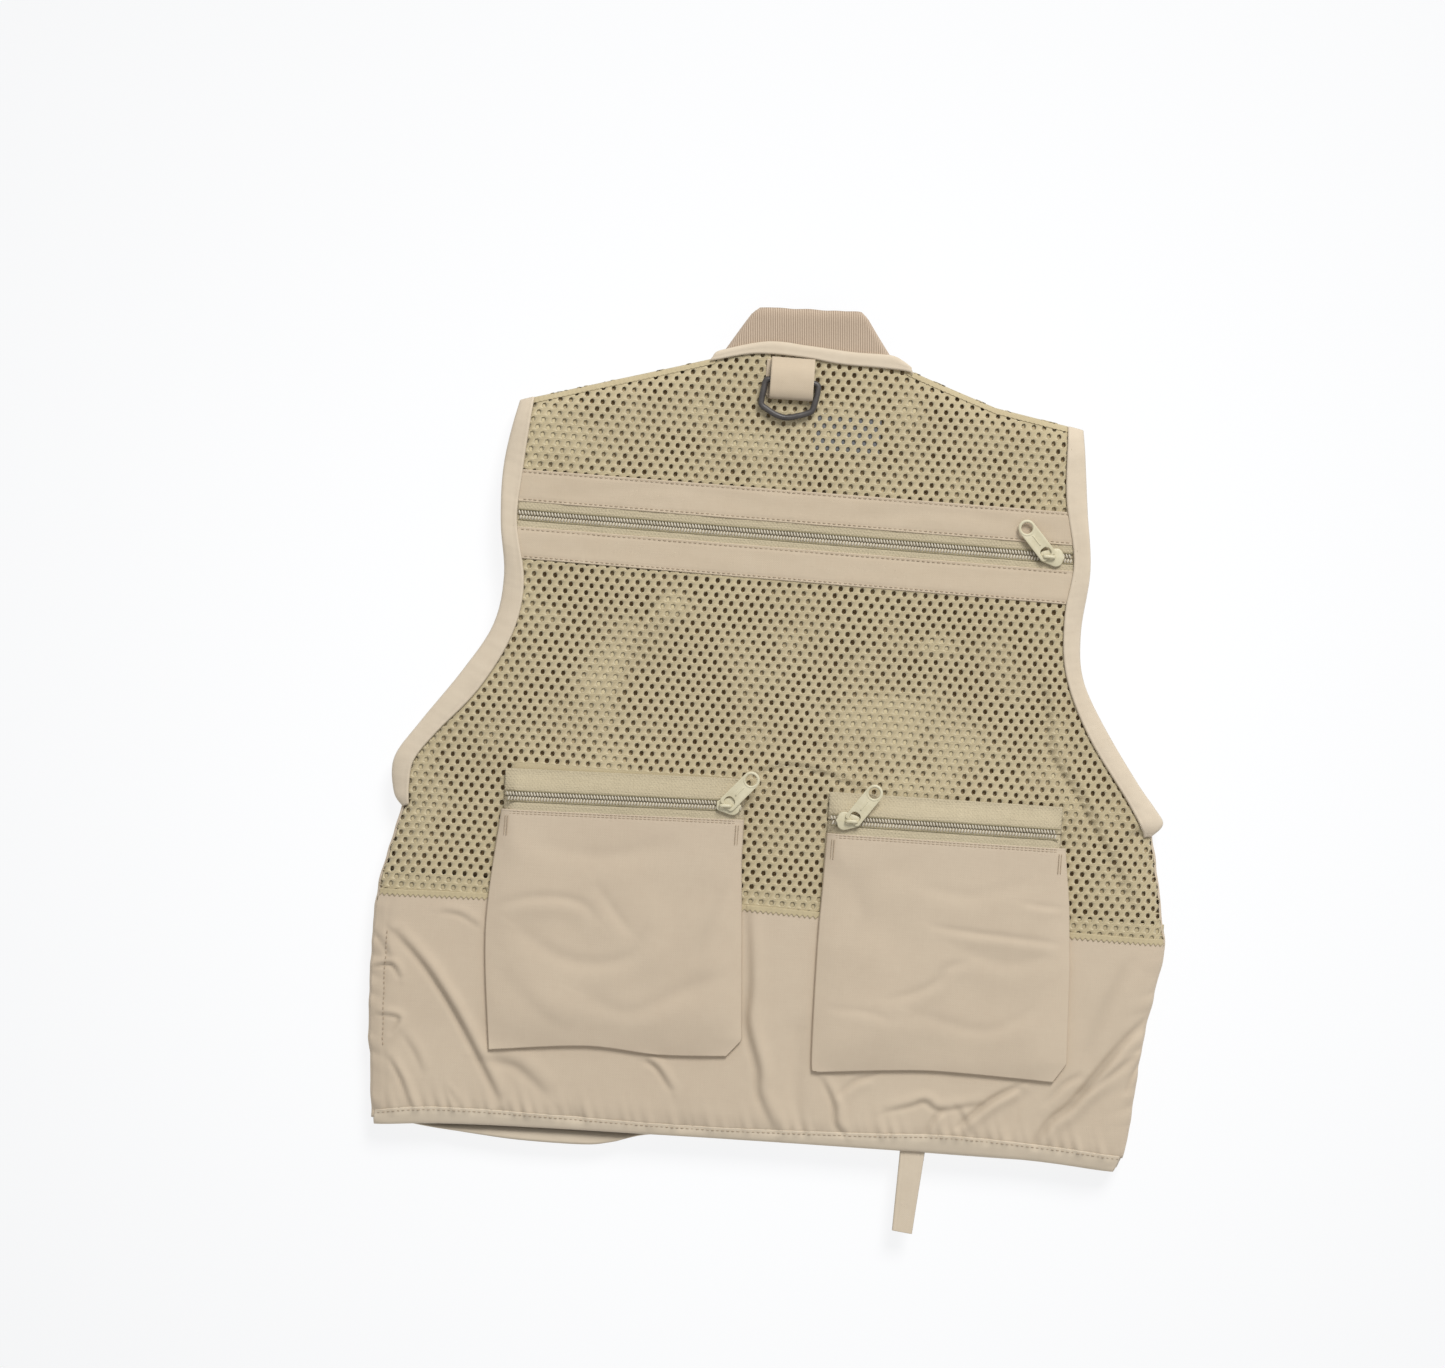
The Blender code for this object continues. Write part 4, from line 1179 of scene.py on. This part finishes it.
left_bag = Bag([(-149, -9.5), (-150.2, -33), (-153.9, -81), (-153.4, -116), (-147.3, -170)],
               [(-12, -5), (-11, -53), (-7, -105), (-3.5, -154), (-11.5, -163.5)],
               [(-147.3, -170), (-92, -164), (-51, -166), (-11.5, -164)], LEFT_ZIP)
right_bag = Bag([(36, -9), (35.5, -62), (35, -100), (36.5, -164), (40, -168.5)],
                [(169, -8), (172.5, -31.5), (177, -64), (180, -102), (182, -154), (175, -164.5)],
                [(40, -169.3), (94, -164.3), (126, -163.8), (175, -165.2)], RIGHT_ZIP)
for side, bag in (("left", left_bag), ("right", right_bag)):
    made = finish_piece(f"{side}_pocket_bag_cloth",
                        sheet_from_grid(130, 124, bag.sheet_at, attribute="fold"),
                        tan_cloth, [f"{side}_pocket_bag"], thickness=0.5)
    declare(made)
    ends = bag.left.at(-33) + 2, bag.right.at(-33) - 2
    rows = [across_line(bag.top, *ends, -1.0), across_line(bag.top, *ends, -2.3)]
    stitch_rows(f"{side}_pocket_stitches", rows, lambda x, y, bag=bag: bag.height(x, y) - 0.1,
                thick=0.24, step=2.4)
    stitch_rows(f"{side}_pocket_bartacks", bag.bartacks(),
                lambda x, y, bag=bag: bag.height(x, y) + 0.75, step=0.75, length=1.1)


# %% [markdown]
# ## Zip chains and tapes
# A nylon zip's teeth are one coil on each side, sewn to the tape. From above each turn of the coil
# looks like a short slanted bar, and the turns of one side sit between those of the other. A stretched
# sphere with few faces is enough for a turn. A cord runs along the outer side of each coil.

# %% Tubes and chains
PITCH = 1.71


def tube(shape, path, radius, sides=8, closed=False, material=0):
    """A round bar along a path of points in metres, made of circles joined by bridges."""
    rings = []
    count = len(path)
    for i, point in enumerate(path):
        before = path[i - 1] if closed or i else path[i]
        after = path[(i + 1) % count] if closed or i < count - 1 else path[i]
        turn = (after - before).to_track_quat("Z", "Y").to_matrix().to_4x4()
        ring = bmesh.ops.create_circle(shape, segments=sides, radius=radius,
                                       matrix=Matrix.Translation(point) @ turn)["verts"]
        rings.append([edge for edge in shape.edges if edge.verts[0] in ring and edge.verts[1] in ring]
                     if count < 4 else list({e for v in ring for e in v.link_edges}))
    pairs = list(zip(rings, rings[1:] + rings[:1])) if closed else list(zip(rings, rings[1:]))
    for a, b in pairs:
        for face in bmesh.ops.bridge_loops(shape, edges=a + b)["faces"]:
            face.material_index = material
    if not closed:
        for ring in (rings[0], rings[-1]):
            for face in bmesh.ops.edgeloop_fill(shape, edges=ring)["faces"]:
                face.material_index = material


def chain_half(name, line, sign, node, start=0.0, end=None, body="vest"):
    """One side of a zip's chain, with its cord."""
    end = line.length if end is None else end
    middle_z = line.low + CLOTH / 2
    shape = bmesh.new()
    steps = int((end - start) / PITCH)
    for i in range(steps):
        along = start + (i + (0.25 if sign > 0 else 0.75)) * PITCH
        x, y = line.point(along, sign * 1.38)
        turn = Matrix.Rotation(line.angle + sign * math.radians(108), 4, "Z")
        stamp(shape, coil_bead, place(x, y, middle_z), turn, (1.62, 0.62, 0.95))
    count = 12
    path = [place(*line.point(mix(start, end, i / count), sign * 2.95), middle_z + 0.25)
            for i in range(count + 1)]
    tube(shape, path, 0.42 * MM, 6, material=1)
    return finish_piece(name, shape, [teeth_nylon, cord_nylon], [node], body, closed=True)


def tape_sheet(line, sign, far, height, start=-3.0, extra=3.0, upwards=True):
    """A tape beside the chain; height(x, y, t) places it, t being 0 at the chain and 1 far from it."""
    def where(u, v):
        v = crowd(v, 0.26, 0.4)
        across = mix(0.15, far, v)
        x, y = line.point(mix(start, line.length + extra, u), sign * across)
        below = 0.9 * ease((3.0 - across) / 0.6)
        return x, y, height(x, y, max(across, 2.4)) - (below if upwards else -below)
    return sheet_from_grid(150, 16, where, downwards=(sign < 0) == upwards)


def storage_tape(x, y, across):
    return back_top - 0.05 + 0.08 * ripple(x, y, 12, 60.0)


for side, sign in (("upper", 1), ("lower", -1)):
    chain_half(f"storage_coil_{side}_teeth", STORAGE_ZIP, sign, f"storage_coil_{side}", -1.5,
               STORAGE_ZIP.length + 5.0)
    made = finish_piece(f"storage_tape_{side}_cloth",
                        tape_sheet(STORAGE_ZIP, sign, 12.0, storage_tape, -3.0, 7.0), tape_cloth,
                        [f"storage_tape_{side}"], thickness=0.45)
    declare(made)


# %% [markdown]
# The tape above each pocket zip is wider and slopes down to the back, where its top edge is turned
# under and sewn. The tape below the zip runs under the fold of the pocket.

# %% Pocket zips
def upper_tape_height(bag):
    def height(x, y, across):
        slope = ease((across - 4.0) / 11.0)
        side = min(x - bag.left.at(y), bag.right.at(y) - x)
        edge = ease(side / 9)
        flat = mix(bag_top, back_height(x, y) + 1.0, slope)
        return mix(back_height(x, y) + 1.6, flat, edge ** 0.6) + 0.1 * ripple(x, y, 10, 61.0)
    return height


def lower_tape_height(bag):
    def height(x, y, across):
        side = min(x - bag.left.at(y), bag.right.at(y) - x)
        return mix(back_height(x, y) + 0.7, bag_top - 0.05, ease(side / 9) ** 0.6)
    return height


for side, bag, line, far in (("left", left_bag, LEFT_ZIP, 15.6), ("right", right_bag, RIGHT_ZIP, 15.8)):
    for part, sign in (("upper", 1), ("lower", -1)):
        chain_half(f"{side}_pocket_coil_{part}_teeth", line, sign, f"{side}_pocket_coil_{part}")
        height = upper_tape_height(bag) if sign > 0 else lower_tape_height(bag)
        made = finish_piece(f"{side}_pocket_tape_{part}_cloth",
                            tape_sheet(line, sign, far if sign > 0 else 11.0, height, -1.6, 1.6),
                            tape_cloth, [f"{side}_pocket_tape_{part}"], thickness=0.5)
        declare(made)


# %% [markdown]
# ## Sliders and pulls
# A slider is a heart-shaped shield with rounded edges over a lower plate, joined by a post. A raised
# bail along its middle holds the pull. The pull is a flat leaf with a big finger hole that has a
# raised rim, and a window round the bail. Both are built at the origin in the slider's own frame, and
# then set down where the CAD has them.

# %% Slider and pull shapes
def plate_from(outline, low, high, bevel):
    """A flat plate with rounded edges, from an outline in millimetres."""
    shape = bmesh.new()
    face = shape.faces.new([shape.verts.new((x * MM, y * MM, low * MM)) for x, y in outline])
    made = bmesh.ops.extrude_face_region(shape, geom=[face])["geom"]
    top = [v for v in made if isinstance(v, bmesh.types.BMVert)]
    bmesh.ops.translate(shape, verts=top, vec=(0, 0, (high - low) * MM))
    bmesh.ops.recalc_face_normals(shape, faces=shape.faces)
    flat = [e for e in shape.edges if abs(e.verts[0].co.z - e.verts[1].co.z) < 1e-7]
    bmesh.ops.bevel(shape, geom=flat, offset=bevel * MM, offset_type="OFFSET", affect="EDGES",
                    segments=3, profile=0.5, material=-1)
    return shape


def joined(*shapes):
    """Several bmeshes as one."""
    whole = bmesh.new()
    for shape in shapes:
        mesh = bpy.data.meshes.new("step")
        shape.to_mesh(mesh)
        shape.free()
        whole.from_mesh(mesh)
        bpy.data.meshes.remove(mesh)
    return whole


def closed_smooth(points, steps=5):
    """A smooth closed line through the points."""
    count = len(points)
    padded = smooth([points[-2], points[-1]] + list(points) + [points[0], points[1]], steps)
    return padded[2 * steps:(2 + count) * steps]


def slider_shape():
    half, wide = 7.0, 5.3
    heart = closed_smooth([(-half, 0), (-6.6, 2.5), (-2.5, 4.0), (2.2, wide), (5.2, 3.9), (6.2, 1.4),
                           (half, 0), (6.2, -1.4), (5.2, -3.9), (2.2, -wide), (-2.5, -4.0),
                           (-6.6, -2.5)], 4)
    top = plate_from(heart, 1.4, 2.75, 0.55)
    for vertex in top.verts:
        if vertex.co.z > 2.0 * MM:
            away = (vertex.co.y / (wide * MM)) ** 2 + (vertex.co.x / (half * MM)) ** 2
            vertex.co.z += 0.55 * MM * max(0.0, 1 - away)
    bottom = plate_from(heart, -2.6, -1.4, 0.4)
    post = plate_from([(1, -0.5), (5, -0.5), (5.4, 0), (5, 0.5), (1, 0.5), (0.6, 0)], -1.6, 1.6, 0.1)
    bail = bmesh.new()
    arch = [(-5.2, 2.3), (-5.2, 4.3), (-4.5, 5.15), (-3.2, 5.35), (-0.8, 5.35), (0.5, 5.15),
            (1.2, 4.3), (1.2, 2.3)]
    path = [Vector((x, 0, z)) * MM for x, z in smooth(arch, 3)]
    tube(bail, path, 0.5 * MM, 8)
    for vertex in bail.verts:
        vertex.co.y *= 2.0
    return joined(top, bottom, post, bail)


def pull_shape():
    wide, bar, length, hole = 4.9, 0.6, 25.5, 3.75
    far = length - wide
    round_end = [(far + wide * math.sin(a), -wide * math.cos(a))
                 for a in (math.pi * i / 16 for i in range(17))]
    outer = [(-bar, 3.4), (-bar, -3.4), (0.2, -4.5), (1.4, -wide)] + round_end
    outer += [(1.4, wide), (0.2, 4.5)]
    circle = [(far + hole * math.cos(a), hole * math.sin(a))
              for a in (2 * math.pi * i / 28 for i in range(28))]
    window = closed_smooth([(bar, 0), (bar + 0.3, -2.3), (bar + 1.6, -3.0), (bar + 3.8, -2.9),
                            (bar + 5.2, -1.6), (bar + 5.4, 0), (bar + 5.2, 1.6), (bar + 3.8, 2.9),
                            (bar + 1.6, 3.0), (bar + 0.3, 2.3)], 2)
    curve = bpy.data.curves.new("pull_outline", "CURVE")
    curve.dimensions, curve.fill_mode = "2D", "BOTH"
    curve.extrude, curve.bevel_depth, curve.bevel_resolution = 0.33 * MM, 0.3 * MM, 2
    curve.offset = -0.3 * MM
    for ring in (outer, circle, window):
        spline = curve.splines.new("POLY")
        spline.points.add(len(ring) - 1)
        for point, (x, y) in zip(spline.points, ring):
            point.co = (x * MM, y * MM, 0, 1)
        spline.use_cyclic_u = True
    helper = bpy.data.objects.new("pull_outline", curve)
    mesh = bpy.data.meshes.new_from_object(helper)
    bpy.data.objects.remove(helper)
    shape = bmesh.new()
    shape.from_mesh(mesh)
    bpy.data.meshes.remove(mesh)
    bmesh.ops.remove_doubles(shape, verts=shape.verts, dist=1e-6)
    rim = bmesh.new()
    tube(rim, [Vector((far + 4.0 * math.cos(a), 4.0 * math.sin(a), 0)) * MM
               for a in (2 * math.pi * i / 32 for i in range(32))], 0.85 * MM, 10, closed=True)
    waist = bmesh.new()
    for sign in (1, -1):
        path = [Vector((x, y, sign * 0.45)) * MM for x, y in smooth([(8.0, 0), (11.5, 0), (15.2, 0)], 3)]
        tube(waist, path, 0.5 * MM, 8)
    return joined(shape, rim, waist)


# %% [markdown]
# Each slider rides on its own sliding body, and each pull on the body that swings on the slider.

# %% Place sliders and pulls
RESTS = {"storage": (STORAGE_ZIP, 303.6, -1, 132), "left_pocket": (LEFT_ZIP, 126.5, -1, 49),
         "right_pocket": (RIGHT_ZIP, 9.6, 1, 55), "front": (FRONT_ZIP, 434.0, -1, -90)}
BAR_X, BAR_Z = -2.0, 3.7
for name, (line, along, direction, yaw) in RESTS.items():
    flipped = name == "front"
    x, y = line.point(along, 0)
    turned = line.angle if direction < 0 else line.angle + math.pi
    tilt = Matrix.Rotation(math.pi if flipped else 0.0, 4, "X")
    middle = line.low + CLOTH / 2
    shape = slider_shape()
    shape.transform(Matrix.Translation(place(x, y, middle)) @ Matrix.Rotation(turned, 4, "Z") @ tilt)
    finish_piece(f"{name}_slider_metal", shape, slider_paint, [f"{name}_slider"],
                 f"{name}_slider_body", closed=True)
    bar = place(x + BAR_X * math.cos(turned), y + BAR_X * math.sin(turned),
                middle + (-BAR_Z if flipped else BAR_Z))
    shape = pull_shape()
    shape.transform(Matrix.Translation(bar) @ Matrix.Rotation(math.radians(yaw), 4, "Z") @ tilt)
    finish_piece(f"{name}_pull_metal", shape, slider_paint, [f"{name}_pull"],
                 f"{name}_pull_body", closed=True)


# %% [markdown]
# ## The ring at the neck
# A plastic D-ring hangs in a folded loop of tape below the neck binding, to hold a net. Its bar is
# straight and its bow is round. The bow is a tube along a closed smooth line.

# %% Ring and its loop
BAR_Y = 221.6
ring_z = (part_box("d_ring")[0].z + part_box("d_ring")[1].z) / 2 / MM
RING_LINE = [(-15.0, 1.0), (-3, 0.5), (8.8, 0.4), (12.2, -0.8), (12.4, -3.6), (11.7, -8.6),
             (10.9, -12.4), (9.7, -15.5), (5.9, -17.5), (1.9, -18.8), (-2.2, -19.9), (-6.3, -20.1),
             (-11.0, -18.7), (-15.6, -16.2), (-18.9, -13.9), (-19.2, -10.6), (-18.4, -4.8),
             (-17.6, -0.2)]
shape = bmesh.new()
tube(shape, [place(x, BAR_Y + y, ring_z) for x, y in closed_smooth(RING_LINE, 5)], 1.72 * MM, 12,
     closed=True)
finish_piece("d_ring_plastic", shape, ring_plastic, ["d_ring"], "neck_ring",
             closed=True)
LOOP = [(235.5, 20.9), (232.5, 22.6), (228.5, 24.9), (224.5, 25.95), (220.5, 26.1), (216.5, 25.7),
        (213.6, 24.4), (212.35, 22.9), (213.0, 21.3), (216, 20.55), (222, 20.4), (229, 20.4),
        (234.5, 20.3)]
loop_line = smooth(LOOP, 4)


def loop_at(u, v):
    y, z = polyline_at(loop_line, v)
    x = mix(-15.0, 9.8, u) - 2.7 * ease((v - 0.5) / 0.12)
    return x, y, z + 0.12 * ripple(x, y, 7, 70.0)


tab = finish_piece("ring_tab_cloth", sheet_from_grid(26, 60, loop_at, downwards=True), band_cloth,
                   ["ring_tab"], thickness=0.7, offset=1.0)
declare(tab)


# %% [markdown]
# ## Front of the vest
# The front lies underneath. It has two panels closed by a long zip, a hem, and four flapped pockets
# for tackle. The same helpers make it, facing down.

# %% Front panels
def front_height(x, y):
    """Height of the lowest face of the front cloth."""
    side = min(x - side_left.at(y), side_right.at(y) - x)
    edge = 3.4 * (1 - clamp(side / 18)) ** 2
    soft = 0.5 * ripple(x, y, 60, 80.0) + 0.25 * ripple(x, y, 25, 81.0)
    calm = ease((abs(x - 8) - 8) / 30)
    return front_low + (edge + soft) * calm


front_top = Edge(LEFT_SHOULDER + [(-30, 235), (-1, 235), (18, 233), (48, 233)] + RIGHT_SHOULDER)
FRONT_SEAM = level(-204)
front_hem_edge = Edge(smooth([(-210, -213), (-190, -216.5), (-157, -219), (-127, -221), (-90, -221),
                              (-74, -218.6), (-50, -212.8), (0, -212), (213, -212)]))
centre_left = Edge([(-1.3, -230), (-1.3, 240)], True)
centre_right = Edge([(17.3, -230), (17.3, 240)], True)


def front_sheet(left, right, low, high, lift=0.0, columns=90, rows=160):
    def where(u, v):
        u, v = crowd(u, 0.012, 0.04), crowd(v, 0.006, 0.03)
        x, y = between_edges(u, v, left, right, low, high)
        near = min(abs(x - left.at(y)), abs(right.at(y) - x))
        hangs = ease((hem_edge.at(x) + 1 - y) / 5) if low is front_hem_edge else 0.0
        return x, y, front_height(x, y) - lift - folded(near, 1.0, 0.8) + 5.0 * hangs
    return sheet_from_grid(columns, rows, where, downwards=True)


for side, left, right in (("left", side_left, centre_left), ("right", centre_right, side_right)):
    made = finish_piece(f"{side}_front_panel_cloth",
                        front_sheet(left, right, FRONT_SEAM, front_top), front_cloth,
                        [f"{side}_front_panel"], thickness=0.6)
    declare(made)
    made = finish_piece(f"{side}_front_hem_cloth",
                        front_sheet(left, right, front_hem_edge, level(-203), 0.1, 100, 10),
                        binding_cloth, [f"{side}_front_hem"], thickness=0.8)
    declare(made)
for side, outer, inner in (("left", LEFT_ARM_OUTER, LEFT_ARM_INNER),
                           ("right", RIGHT_ARM_OUTER, RIGHT_ARM_INNER)):
    made = finish_piece(f"{side}_armhole_binding_front_cloth",
                        binding_sheet(outer, inner, front_height, 160, upwards=False, rise=0.3),
                        binding_cloth, [f"{side}_armhole_binding_front"], thickness=0.6)
    declare(made)


# %% [markdown]
# Side and shoulder seams join the two layers. Between the layers the cloth turns round in a soft
# bulge, so each seam is a narrow sheet from the edge of the front to the edge of the back.

# %% Side and shoulder seams
def seam_sheet(line, outward, columns):
    def where(u, v):
        point = polyline_at(line, u)
        x, y = point
        low, high = front_height(x, y) + 0.3, back_height(x, y) - 0.4
        bulge = 1.3 * math.sin(math.pi * v)
        return x + outward[0] * (bulge - 0.9), y + outward[1] * (bulge - 0.9), mix(low, high, v)
    return sheet_from_grid(columns, 10, where)


left_line = side_line(side_left, -35, -214, step=3.0)
right_line = side_line(side_right, -21, -206, step=3.0)
for name, line, outward, material, slot in (
        ("left_side_seam", left_line, (-1, 0), tan_cloth, "binding"),
        ("right_side_seam", right_line, (1, 0), tan_cloth, "binding"),
        ("left_shoulder_seam", LEFT_SHOULDER + [(-38, 237.4)], (-0.28, 0.96), mesh_knit, "binding"),
        ("right_shoulder_seam", [(52, 237.8)] + RIGHT_SHOULDER, (0.28, 0.96), mesh_knit, "binding")):
    shape = seam_sheet(line, outward, 110)
    if name != "right_side_seam":
        bmesh.ops.reverse_faces(shape, faces=shape.faces)
    made = finish_piece(f"{name}_cloth", shape, material, [name], thickness=0.5)
    declare(made)


# %% [markdown]
# The rolled edge of the mesh along the shoulders hides the cut cells.

# %% Shoulder roll
def shoulder_roll(line):
    def where(u, v):
        x, y = polyline_at(line, u)
        away = mix(0.2, 3.4, crowd(v, 0.2, 0.3))
        z = back_height(x, y - away) + 0.25 + folded(away, 1.5, 1.6)
        return x, y - away + 0.2 * math.sin(u * 260), z
    return sheet_from_grid(150, 8, where, downwards=True)


for side, line in (("left", LEFT_SHOULDER), ("right", RIGHT_SHOULDER)):
    made = finish_piece(f"{side}_shoulder_roll", shoulder_roll(line), mesh_knit,
                        thickness=0.4)
    declare(made)


# %% [markdown]
# ## Front pockets and flaps
# Each front pocket is a box-shaped bag whose face and sides are one piece of nylon. Its flap is sewn
# above the mouth and bends at that line, so the sheet is blended between the height of the vest and the
# height of the flap.

# %% Front pockets
POCKETS = {"left_lower": ((-188, -190), (-10, -25), 50), "left_chest": ((-126, 38), (-18, 150), 38),
           "right_lower": ((26, -190), (204, -25), 50), "right_chest": ((34, 38), (142, 150), 38)}
FLAP_LIFT, FLAP_Z = 2.0, 0.8


def pocket_face(low, high, mouth):
    def where(u, v):
        u, v = crowd(u, 0.07, 0.18), crowd(v, 0.07, 0.18)
        x, y = mix(low[0], high[0], u), mix(low[1], high[1], v)
        side, base = min(x - low[0], high[0] - x), y - low[1]
        corner = math.prod(math.sin(math.pi / 2 * clamp(d / 9)) ** 0.5 if d > 0 else 0.0
                           for d in (side, base))
        shelf = 1.5 * ease((y - (high[1] - mouth) + 4) / 8)
        face = 0.15 + shelf + 0.5 * (1 + ripple(x, y, 40, 90.0)) * (1 - shelf / 1.5)
        return x, y, mix(front_height(x, y) - 0.1, face, corner)
    return sheet_from_grid(90, 84, where, downwards=True)


def flap_sheet(low, high, mouth):
    hinge, reach = high[1] + FLAP_LIFT, mouth + FLAP_LIFT - 1.5

    def where(u, v):
        u = crowd(u, 0.02, 0.08)
        x = mix(low[0] + 0.5, high[0] - 0.5, u)
        dip = 3.0 * ease(1 - 2 * abs(u - 0.5))
        y = mix(hinge - reach + 3.0 - dip, hinge + 3.2, v)
        root = ease((y - hinge + 1.0) / 4.2)
        near = min(x - low[0], high[0] - x, y - (hinge - reach + 3.0 - dip) + 0.5)
        z = FLAP_Z - 0.35 - folded(near, 1.0, 0.5) + 0.25 * groove(near, 3.0)
        return x, y, mix(z, front_height(x, y) - 0.1, root)
    return sheet_from_grid(80, 40, where, downwards=True)


for name, (low, high, mouth) in POCKETS.items():
    made = finish_piece(f"{name}_pocket_cloth", pocket_face(low, high, mouth), front_cloth,
                        [f"{name}_pocket"], thickness=0.6)
    declare(made)
    made = finish_piece(f"{name}_flap_cloth", flap_sheet(low, high, mouth), front_cloth,
                        [f"{name}_flap"], None, thickness=0.6)
    declare(made)
    middle = (low[0] + high[0]) / 2
    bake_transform(made)


# %% Front zip
def front_tape(x, y, across):
    return front_low + 0.35


for side, sign in (("left", 1), ("right", -1)):
    chain_half(f"front_coil_{side}_teeth", FRONT_ZIP, sign, f"front_coil_{side}")
    made = finish_piece(f"front_tape_{side}_cloth",
                        tape_sheet(FRONT_ZIP, sign, 12.5, front_tape, 0, 0, upwards=False),
                        tape_cloth, [f"front_tape_{side}"], thickness=0.45)
    declare(made)


# %% [markdown]
# ## The tab below the hem
# A short strip of the binding hangs from the hem. It lies at the height of the CAD strap, with a slight
# wave along it.

# %% Hem strap
STRAP_Z = (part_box("lower_strap")[0].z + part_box("lower_strap")[1].z) / 2 / MM


def strap_at(u, v):
    v = crowd(v, 0.03, 0.08)
    left = mix(mix(91.2, 91.3, clamp(v * 5)), 89.9, v)
    right = mix(105.9, 101.5, v)
    y = mix(-206, mix(-256.7, -258, u), v)
    near = min(u, 1 - u) * (right - left)
    z = STRAP_Z + 0.3 + folded(near, 0.9, 0.7) + groove(near, 2.2, 0.2, 0.5)
    return mix(left, right, u), y, z + 0.35 * math.sin(v * 7) * v


strap = finish_piece("lower_strap_cloth", sheet_from_grid(20, 50, strap_at, downwards=True),
                     binding_cloth, ["lower_strap"], None, thickness=0.9)
declare(strap)
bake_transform(strap)

# %% [markdown]
# ## Floor, light and camera
# The vest lies on a white table with painted light: the table glows a little, brightest under the vest
# and fading outwards, so that the vest throws almost no shadow. A large soft light shines from above its
# neck and shows the folds. The camera looks straight down, turned by the few degrees that the vest lies
# askew.

# %% Stage
VIEW_TURN = math.radians(4.2)
VIEW_MIDDLE = Vector((-0.0370, 0.0441, 0.0))
VIEW_WIDTH, CAMERA_HEIGHT = 0.8237, 1.9

shape = bmesh.new()
bmesh.ops.create_grid(shape, x_segments=1, y_segments=1, size=4.0)
floor = finish_piece("floor", shape, [], body=None)
floor_paint_and_glow, floor_nodes, floor_shader = new_material("floor_paint_and_glow", 0.9)
floor_shader.inputs["Base Color"].default_value = (0.15, 0.151, 0.153, 1.0)
floor_shader.inputs["Emission Strength"].default_value = 1.0
# Painted light: the floor's glow is brightest near the middle and fades outwards, in place of the
# fall-off of the studio light.
reach = floor_nodes.add("ShaderNodeVectorMath", {
    0: floor_nodes.add("ShaderNodeTexCoord").outputs["Object"]}, operation="LENGTH").outputs["Value"]
glow = floor_nodes.blend(floor_nodes.ramp(reach, 0.2, 0.62), (0.83, 0.834, 0.842, 1.0),
                         (0.754, 0.758, 0.766, 1.0))
floor_paint_and_glow.node_tree.links.new(glow, floor_shader.inputs["Emission Color"])
floor.data.materials.append(floor_paint_and_glow)

world = bpy.data.worlds.new("surround")
world.use_nodes = True
world.node_tree.nodes["Background"].inputs["Color"].default_value = (1.0, 1.0, 1.0, 1.0)
world.node_tree.nodes["Background"].inputs["Strength"].default_value = 0.5
bpy.context.scene.world = world


def soft_light(name, where, size, power, tone=(1.0, 0.99, 0.97)):
    light = bpy.data.lights.new(name, "AREA")
    light.shape, light.size, light.energy, light.color = "SQUARE", size, power, tone
    made = bpy.data.objects.new(name, light)
    made.location = where
    made.rotation_euler = (VIEW_MIDDLE - Vector(where)).to_track_quat("-Z", "Y").to_euler()
    bpy.context.scene.collection.objects.link(made)


soft_light("key_light", (0.9, 2.7, 2.9), 1.5, 128.0)

camera_data = bpy.data.cameras.new("camera")
camera_data.sensor_width = 36.0
camera_data.lens = 36.0 * CAMERA_HEIGHT / VIEW_WIDTH
camera_data.clip_start = 0.01
camera = bpy.data.objects.new("camera", camera_data)
camera.location = VIEW_MIDDLE + Vector((0, 0, CAMERA_HEIGHT + back_top * MM))
camera.rotation_euler = (0, 0, VIEW_TURN)
bpy.context.scene.collection.objects.link(camera)
bpy.context.scene.camera = camera
bpy.context.scene.view_settings.view_transform = "Standard"
